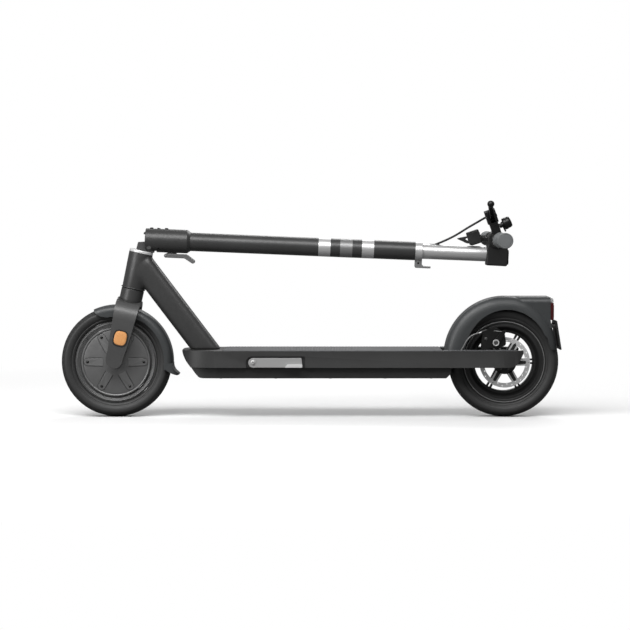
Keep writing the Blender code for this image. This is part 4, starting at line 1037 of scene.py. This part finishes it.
def build_stem_tubes():
    main_tube = ring(21.3, 17.6, 42, STEM_END, edge=0.9, steps=128)
    piece("stem_main_tube", main_tube, ON_STEM, PAINT, ["stem_tube"])
    bands = ((389.3, 417, BAND), (439.3, 467.6, DULL_BAND), (489.6, 517.3, BAND))
    for i, (low, high, material) in enumerate(bands):
        band = ring(21.42, 21.1, low, high, edge=0.08, steps=128)
        piece(f"stem_band_{i + 1}", band, ON_STEM, material)
    piece("stem_upper_tube", ring(17.3, 14.5, 560, 790, steps=128), ON_STEM, SILVER, ["upper_tube"])
    grommet = prism(rectangle((-3.8, 645), (3.8, 668), 3.7), -19, -14.6, "X")
    grommet = common(grommet, ring(18.2, 14.8, 640, 690))
    piece("cable_grommet", eased(grommet, 0.5, 2, 50), ON_STEM, SEAL)


def build_bag_hook():
    clamp = ring(21.4, 17.6, STEM_END + 0.3, 629.2, edge=0.7)
    hook = along_stem([(612.8, -18.5), (612.8, -34.5, 1.5), (614.6, -38.7, 2.5), (649.4, -38.7, 1.4),
                       (649.8, -33.8, 1.4), (633, -33.8, 2.5), (629.2, -30, 1.5), (629.2, -18.5)])
    hook = eased(prism(rounded(hook), -7, 7), 0.7, 2, 35)
    screw = (27.4, 0, 620.7)
    hook = cut(hook, disc(19.5, 600, 640), disc(2.5, -20, 20, "Y", screw))
    piece("hook_clamp", clamp, ON_STEM, BAND, ["bag_hook"])
    piece("hook_tongue", hook, ON_STEM, DULL_BAND)
    piece("hook_screw", disc(2.6, -5.6, 5.6, "Y", screw), ON_STEM, GLOSS)


def build_stem_head():
    outline = along_stem([(776.5, -25.9, 3), (825, -26.4, 4), (825.4, 14, 8), (818, 28, 10), (*BAR, 10),
                          (779, 28, 8), (776.5, 14, 6)])
    block = eased(prism(rounded(outline), -21.5, 21.5), 3, 4, 50)
    clamp = disc(19.6, -27, 27, "Y", BAR_PLACE, 1.5, 96)
    head = melted(gathered(block, clamp), 1, 5)
    piece("stem_head_casting", head, ON_STEM, PLASTIC, ["stem_head"], 50, False)
    screws = [cap_screw(2.8, 1.6, (12, 21.2, level), (0, 1, 0)) for level in (786, 812)]
    piece("head_screws", gathered(*screws), ON_STEM, BLACK_METAL)
    glass = eased(prism(rectangle((-11, -16), (22.5, 16), 3.5), 825.2, 827.8, "Z"), 0.6, 3, 50)
    button = (16, 0, 0)
    glass = cut(glass, disc(5.4, 820, 840, centre=button))
    piece("display_glass", glass, ON_STEM, GLOSS, ["display_panel"])
    cap = turned([(0, 822.5), (5, 822.5), (5, 828.6, 0.6), (3.4, 829.2, 0.6), (2.9, 828.8, 0.3), (0, 828.8)],
                 "Z", 48, button)
    piece("power_button_cap", cap, (STEM, "power_button"), DARK_STEEL, ["power_button"])


# ---------------------------------------------------------------- bar and controls
def build_bar():
    bar = ring(11, 8.8, -254, 254, "Y", BAR_PLACE, 0.4, 64)
    piece("bar_tube", bar, ON_STEM, BLACK_METAL, ["handlebar"])
    profile = [(0, 253.5), (11.3, 253.5), (11.3, 130), (15.2, 130), (17, 131.2), (17.5, 133), (17.5, 135),
               (16.6, 136.4)]
    for i in range(26):
        y = 140 + 4.1 * i
        swell = 16.4 + 0.7 * abs((y - 190) / 56) ** 1.5
        profile += [(swell - 0.45, y), (swell, y + 0.7), (swell, y + 2.7), (swell - 0.45, y + 3.3)]
    profile += [(17.3, 249.4), (17.5, 250.4), (17.5, 257.6), (17.2, 258.8), (16.2, 259.7), (14.6, 260),
                (14, 259.5), (13.2, 259.5), (12.6, 259.9), (0, 259.9)]
    for word, side in SIDES:
        grip = lathe([(r, side * y) for r, y in profile], "Y", 96, BAR_PLACE)
        piece(f"grip_sleeve_{word}", grip, ON_STEM, GRIP, [f"grip_{word}"], 25, False)


def build_headlight():
    """A box light on a bracket below the bar, tipped towards the road."""
    tip = math.radians(20.7)

    def panel(low, high, near=(), far=()):
        """A tipped rectangle, with the radii of its corners at its near and at its far side."""
        corners = [(*low, *near), (high[0], low[1], *near), (*high, *far), (low[0], high[1], *far)]
        outline = []
        for a, b, *radius in corners:
            t = 728.5 + a * math.cos(tip) + b * math.sin(tip)
            n = 46.3 + a * math.sin(tip) - b * math.cos(tip)
            outline.append((t, n, *radius))
        return rounded(along_stem(outline))

    body = eased(prism(panel((0, 1.5), (28.5, 31.5), (2,), (5,)), -17, 17), 2.5, 3, 50)
    fins = [eased(prism(panel((28, 8 + 5 * k), (29.6, 10.5 + 5 * k)), -13, 13), 0.4, 2) for k in range(4)]
    bezel = eased(prism(panel((0.4, -0.3), (28.1, 3), (2,), (1,)), -16.6, 16.6), 1, 2, 50)
    bezel = cut(bezel, prism(panel((3, -2), (25.5, 2.4)), -13.8, 13.8))
    bracket = along_stem([(752, 42.5, 1), (777.5, 38), (777.5, 29.5), (757, 29.8, 3)])
    bracket = eased(prism(rounded(bracket), -6, 6), 1, 2)
    knuckle = disc(6.2, -8, 8, "Y", (-35.2, 0, 762.5), 0.8)
    body = gathered(body, *fins, bezel, bracket, knuckle)
    piece("headlight_body", body, ON_STEM, PLASTIC, ["headlight"], 32)
    glass = eased(prism(panel((3.1, 0.4), (25.4, 2)), -13.7, 13.7), 0.3, 2)
    piece("headlight_lens", glass, ON_STEM, CLEAR)


def build_throttle():
    clamp = ring(18, 11.2, 92, 111.7, "Y", BAR_PLACE, 1.2, 72)
    housing = eased(box((-BAR[1] - 4, 94, BAR[0] - 23.5), (-BAR[1] + 12, 110, BAR[0] - 8)), 2.5, 3)
    piece("throttle_case", gathered(clamp, housing), ON_STEM, PLASTIC, ["throttle_housing"])
    hub = ring(17, 11.2, -8, 8, "Y", edge=1, steps=72)
    blade = smooth_line([(-9, -10), (-7.4, -32), (-4.6, -56), (1.4, -80.6)], 5)
    blade += smooth_line([(3.4, -80.8), (8.4, -68), (13, -55), (9, -34), (6.4, -10)], 5)
    hole = prism(rounded([(7.2, -52.5, 1.5), (-1.2, -55, 1.5), (3, -63, 1.5)]), -12, 12)
    paddle = eased(cut(prism(blade, -5, 5), hole), 1.2, 3, 35)
    piece("throttle_thumb_paddle", gathered(hub, paddle), (THROTTLE, "throttle_paddle"), PLASTIC,
          ["throttle_paddle"])


def build_brake_lever():
    neck = rounded([(44, -9), (44, 13), (14, 16.6, 6), (8, 16.6), (8, -8.8)])
    yoke = rounded([(16, -8, 4), (15, 16.6, 4), (-16, 16.6, 5), (-17, -8, 5)])
    slot = prism([(-30, -20), (-30, 9.5), (10, 9.5), (18, -20)], -5.4, 5.4, "Z")
    holder = union(prism(neck, -9.5, 9.5, "Z"), prism(yoke, -12, 12, "Z"))
    holder = eased(cut(holder, slot), 1.6, 3, 40)
    clamp = lathe(rounded([(16, -9, 1.5), (16, 13, 1.5), (11.2, 13), (11.2, -9)]), "Y", 72, (56, 0, 0))
    ears = eased(box((64, -4, -8.5), (76, 8, 8.5)), 2, 3)
    barrel = turned([(0, 10), (4.4, 10), (4.4, 18.5, 0.5), (3.6, 19.2, 0.3), (3.6, 22.8, 0.3),
                     (4.1, 23.2, 0.4), (4.1, 25.5, 0.8), (0, 25.5)], "Y", 40, (-2, 0, -6.3))
    piece("perch_casting", gathered(holder, clamp, ears, barrel), (LEVER, "stem"), BLACK_METAL,
          ["brake_perch"])
    screws = [cap_screw(2.6, 1.8, (70, 2, 8.4), (0, 0, 1))]
    screws += [cap_screw(3.4, 1.6, (0, 0, 11.8 * way), (0, 0, way)) for way in (1, -1)]
    piece("perch_screws", gathered(*screws), (LEVER, "stem"), STEEL)
    front = smooth_line([(-5, 4), (0, 6.5), (5, 4.5), (6.4, -4), (3.6, -20), (-8.6, -48), (-18.5, -76),
                         (-26.6, -98)], 5)
    back = smooth_line([(-32.2, -98), (-27.5, -74), (-18.4, -48), (-10, -22), (-7, -4)], 5)
    blade = eased(prism(front + back, -4.9, 4.9, "Z"), 1.8, 4, 40)
    radius = 7.9
    ball = [(0, -radius)] + arc((0, 0), radius, -80, 80, 16) + [(0, radius)]
    ball = lathe(ball, "Z", 48, (-29.6, -103, 0))
    piece("lever_blade", gathered(blade, ball), (LEVER, "brake_lever"), BLACK_METAL, ["brake_lever"])


def build_cable(name, route, radius, seat, material, node):
    """A sheathed cable through a route's points."""
    line = smooth_line(route, 8)
    sheath = piece(name, tube(line, radius, 20), seat, material, [node], 40, False)


def build_cables():
    """The brake cable from the lever into the stem, and the one from the deck to the caliper."""
    route = [(770.9, 86.3, -75), (770.3, 85.9, -66), (764.5, 82, -53), (752, 73.5, -41), (731, 59.5, -28),
             (704, 40.5, -13), (681, 27.5, -4), (662, 18.5, 0), (646, 11.2, 0)]
    build_cable("brake_cable_sheath", [(-n, y, t) for t, n, y in route], 2.4, ON_STEM, SHEATH, "brake_cable")
    route = [(290.5, -50, 136), (306, -50, 136.4), (324, -50, 140.4), (339.5, -50.3, 149.5),
             (349.5, -50.5, 163), (357, -50.5, 177), (367, -50.5, 187.5), (378, -50.5, 193),
             (390.5, -50.5, 196.5)]
    build_cable("rear_cable_sheath", route, 2, ON_FRAME, CABLE_GREY, "rear_brake_cable")
    ferrule = tube([(386, -50.5, 194.2), (391, -50.5, 196.8), (396, -50.5, 199.4)], 3.1, 24)
    piece("rear_cable_ferrule", ferrule, ON_FRAME, STEEL)


def build_bell():
    dome = turned([(0, 9), (12.6, 9), (13.6, 10, 0.8), (13.6, 15.6, 1), (12.8, 16.6, 0.5), (13, 22, 1.5),
                   (11, 26.4, 2.5), (0, 27.6)])
    post = turned([(0, -1), (5.4, -1), (5.4, 4.2, 0.5), (4.6, 4.4), (4.6, 10), (0, 10)], steps=48)
    piece("bell_body", gathered(dome, post), (BELL, "stem"), BLACK_METAL, ["bell"])
    hub = ring(7.5, 4.9, 4.6, 8.6, edge=0.5, steps=48)
    lever = rounded([(5.1, -3), (16.8, -2.2, 2), (16.8, 2.2, 2), (5.1, 3)])
    lever = eased(prism(lever, 4.8, 8.4, "Z"), 0.6, 2)
    piece("bell_thumb_lever", gathered(hub, lever), (BELL, "bell_striker"), BLACK_METAL, ["bell_striker"])


# ---------------------------------------------------------------- rear brake
def build_caliper():
    """A cable caliper on its foot, with an adjuster, two slide bolts and a sprung arm."""
    outline = rounded([(391, 132), (391, 178, 4), (395, 197, 5), (408, 206, 6), (428, 206, 6),
                       (444, 194, 8), (447, 168, 6), (432, 160, 3), (409, 160), (409, 132)])
    foot_gap = prism([(380, 120), (380, 159), (412, 159), (412, 120)], -49, -20)
    disc_gap = disc(61, -44, -36, "Y", REAR_AXLE, steps=128)
    body = eased(cut(prism(outline, -54.2, -27), foot_gap, disc_gap), 1.4, 3, 40)
    stop = tube([(391, -50.5, 197), (396.5, -50.5, 199.4), (402, -50.5, 201)], 4, 24)
    piece("caliper_casting", gathered(body, stop), ON_FRAME, BLACK_METAL, ["brake_caliper"])
    bolts = [cap_screw(3.6, 2.6, spot, (0, -1, 0)) for spot in ((400, -54, 148), (401, -54, 182))]
    piece("caliper_bolts", gathered(*bolts), ON_FRAME, DARK_STEEL)
    seat = (CALIPER_ARM, "caliper_arm")
    reach = (18, 25.2)
    lean = math.degrees(math.atan2(reach[1], reach[0]))
    arm = arc((0, 0), 8, lean + 60, lean + 300, 24) + arc(reach, 4.5, lean - 70, lean + 70)
    plate = eased(prism(arm, -2.1, 2), 0.7, 2, 40)
    anchor = disc(3, -3, 2.4, "Y", (reach[0], 0, reach[1]), 0.5, 32)
    piece("caliper_lever_arm", gathered(plate, anchor), seat, BLACK_METAL, ["caliper_arm"])
    piece("caliper_adjuster_ring", ring(7.4, 5, -3.4, -1.8, "Y", edge=0.3, steps=48), seat, BRAKE_STEEL)
    knob = cut(disc(4.2, -3.8, -1.8, "Y", edge=0.5), prism(hexagon(2.4), -6, -2.6))
    piece("caliper_adjuster_screw", knob, seat, DARK_STEEL)
    wire = tube([(402, -50.5, 201), (421, -54, 199.8), (441.3, -56.9, 198.3)], 0.75, 12)
    piece("rear_inner_wire", wire, ON_FRAME, STEEL)


# ---------------------------------------------------------------- finishes of the CAD nodes
BY_SLOT = {"frame_alloy": PAINT, "fender_plastic": FENDER, "black_alloy": BLACK_METAL,
           "dark_alloy": BLACK_METAL, "steel": STEEL, "battery_wrap": WRAP, "motor_core": COPPER,
           "orange_reflector": AMBER, "red_lens": RED, "grip_rubber": GRIP, "mat_rubber": MAT}


def dress_cad_nodes():
    """Finishes for the CAD nodes that stay: the pieces inside, and those drawn whole already."""
    finishes = {"aluminium": SILVER, "brushed_steel": DARK_STEEL, "matte_plastic": PLASTIC,
                "gloss_plastic": GLOSS, "rubber": SEAL, "tyre": TYRE, "painted_metal": PAINT,
                "cast_iron": COPPER}
    classes = {material["slot"]: material["class"] for material in frame["record"]["materials"]}
    for row in frame["record"]["subparts"]:
        node = frame["nodes"][row["node"]]
        slot = row["material_slot"]
        node.data.materials.clear()
        node.data.materials.append(BY_SLOT.get(slot, finishes[classes[slot]]))


# ---------------------------------------------------------------- stage
FLOOR_FADE = (0.8, 1.8)  # metres from the middle between which the floor turns white
FLOOR_SHADES = (0.16, 0.92)  # as the scooter sees the floor, and as the camera does
FADED_SHADES = (0.12, 1)
LIGHT_TARGET = (0, 0, 0.2)
AMBIENT = 0.26
CAMERA_PLACE = (0.0095, -5, 0.465)
CAMERA_PITCH = 2.645
LENS = 123.7


def plain(value):
    """A neutral colour from its linear value."""
    return (value, value, value, 1)


def build_stage():
    """A pale floor that fades into the white studio; it sends little light back up."""
    floor = bpy.data.objects.new("floor", bpy.data.meshes.new("floor"))
    half = 40
    corners = [(-half, -half, 0), (half, -half, 0), (half, half, 0), (-half, half, 0)]
    floor.data.from_pydata(corners, [], [(0, 1, 2, 3)])
    bpy.context.scene.collection.objects.link(floor)
    floor.location.z = -0.0003
    nodes = Nodes("pale_floor")
    direct = nodes.add("ShaderNodeLightPath").outputs["Is Camera Ray"]
    nodes.link(nodes.mix(direct, plain(FLOOR_SHADES[0]), plain(FLOOR_SHADES[1])),
               nodes.shader.inputs["Base Color"])
    nodes.shader.inputs["Roughness"].default_value = 0.9
    nodes.shader.inputs["Specular IOR Level"].default_value = 0
    length = nodes.add("ShaderNodeVectorMath", operation="LENGTH")
    nodes.link(nodes.place(), length.inputs[0])
    far = nodes.spread(length.outputs["Value"], 0, 1, *FLOOR_FADE)
    white = nodes.add("ShaderNodeEmission")
    nodes.link(nodes.mix(direct, plain(FADED_SHADES[0]), plain(FADED_SHADES[1])), white.inputs["Color"])
    faded = nodes.add("ShaderNodeMixShader")
    nodes.link(far, faded.inputs["Fac"])
    nodes.link(nodes.shader.outputs["BSDF"], faded.inputs[1])
    nodes.link(white.outputs["Emission"], faded.inputs[2])
    nodes.link(faded.outputs["Shader"], nodes.tree.nodes["Material Output"].inputs["Surface"])
    floor.data.materials.append(nodes.material)


def area_light(name, place, width, height, power):
    """A soft rectangular light that faces the scooter, from a place in metres."""
    light = bpy.data.lights.new(name, "AREA")
    light.shape = "RECTANGLE"
    light.size = width
    light.size_y = height
    light.energy = power
    obj = bpy.data.objects.new(name, light)
    obj.location = place
    obj.rotation_euler = (Vector(LIGHT_TARGET) - Vector(place)).to_track_quat("-Z", "Y").to_euler()
    bpy.context.scene.collection.objects.link(obj)


def build_lights():
    area_light("key softbox", (-0.7, -2.1, 2.7), 4.4, 1.5, 135)
    area_light("left fill", (-3.4, -2.8, 1.1), 1.8, 1.4, 50)
    area_light("back softbox", (0.9, 2.4, 2.3), 2.6, 1.2, 46)
    world = bpy.data.worlds.new("studio")
    world.use_nodes = True
    tree = world.node_tree
    ray = tree.nodes.new("ShaderNodeLightPath")
    seen = tree.nodes.new("ShaderNodeBackground")
    seen.inputs["Color"].default_value = plain(1)
    seen.inputs["Strength"].default_value = 1
    lit = tree.nodes["Background"]
    lit.inputs["Color"].default_value = plain(1)
    lit.inputs["Strength"].default_value = AMBIENT
    blend = tree.nodes.new("ShaderNodeMixShader")
    tree.links.new(ray.outputs["Is Camera Ray"], blend.inputs["Fac"])
    tree.links.new(lit.outputs["Background"], blend.inputs[1])
    tree.links.new(seen.outputs["Background"], blend.inputs[2])
    tree.links.new(blend.outputs["Shader"], tree.nodes["World Output"].inputs["Surface"])
    bpy.context.scene.world = world
    bpy.context.scene.view_settings.view_transform = "Standard"


def build_camera():
    """Square to the left side from five metres away, and tipped down a little."""
    camera = bpy.data.cameras.new("camera")
    camera.lens = LENS
    camera.sensor_width = 36
    obj = bpy.data.objects.new("camera", camera)
    obj.location = CAMERA_PLACE
    obj.rotation_euler = (math.radians(90 - CAMERA_PITCH), 0, 0)
    bpy.context.scene.collection.objects.link(obj)
    bpy.context.scene.camera = obj


# ---------------------------------------------------------------- everything
def main():
    build_camera()
    build_lights()
    build_stage()
    dress_cad_nodes()
    build_frame_tubes()
    build_deck()
    build_mat()
    build_belly()
    build_stand()
    build_charge_port()
    build_front_wheel()
    build_rear_wheel()
    build_rear_fender()
    build_tail_light()
    build_front_fender()
    build_fork()
    build_steerer()
    build_sleeve()
    build_latch()
    build_stem_tubes()
    build_bag_hook()
    build_stem_head()
    build_bar()
    build_headlight()
    build_throttle()
    build_brake_lever()
    build_cables()
    build_bell()
    build_caliper()


main()
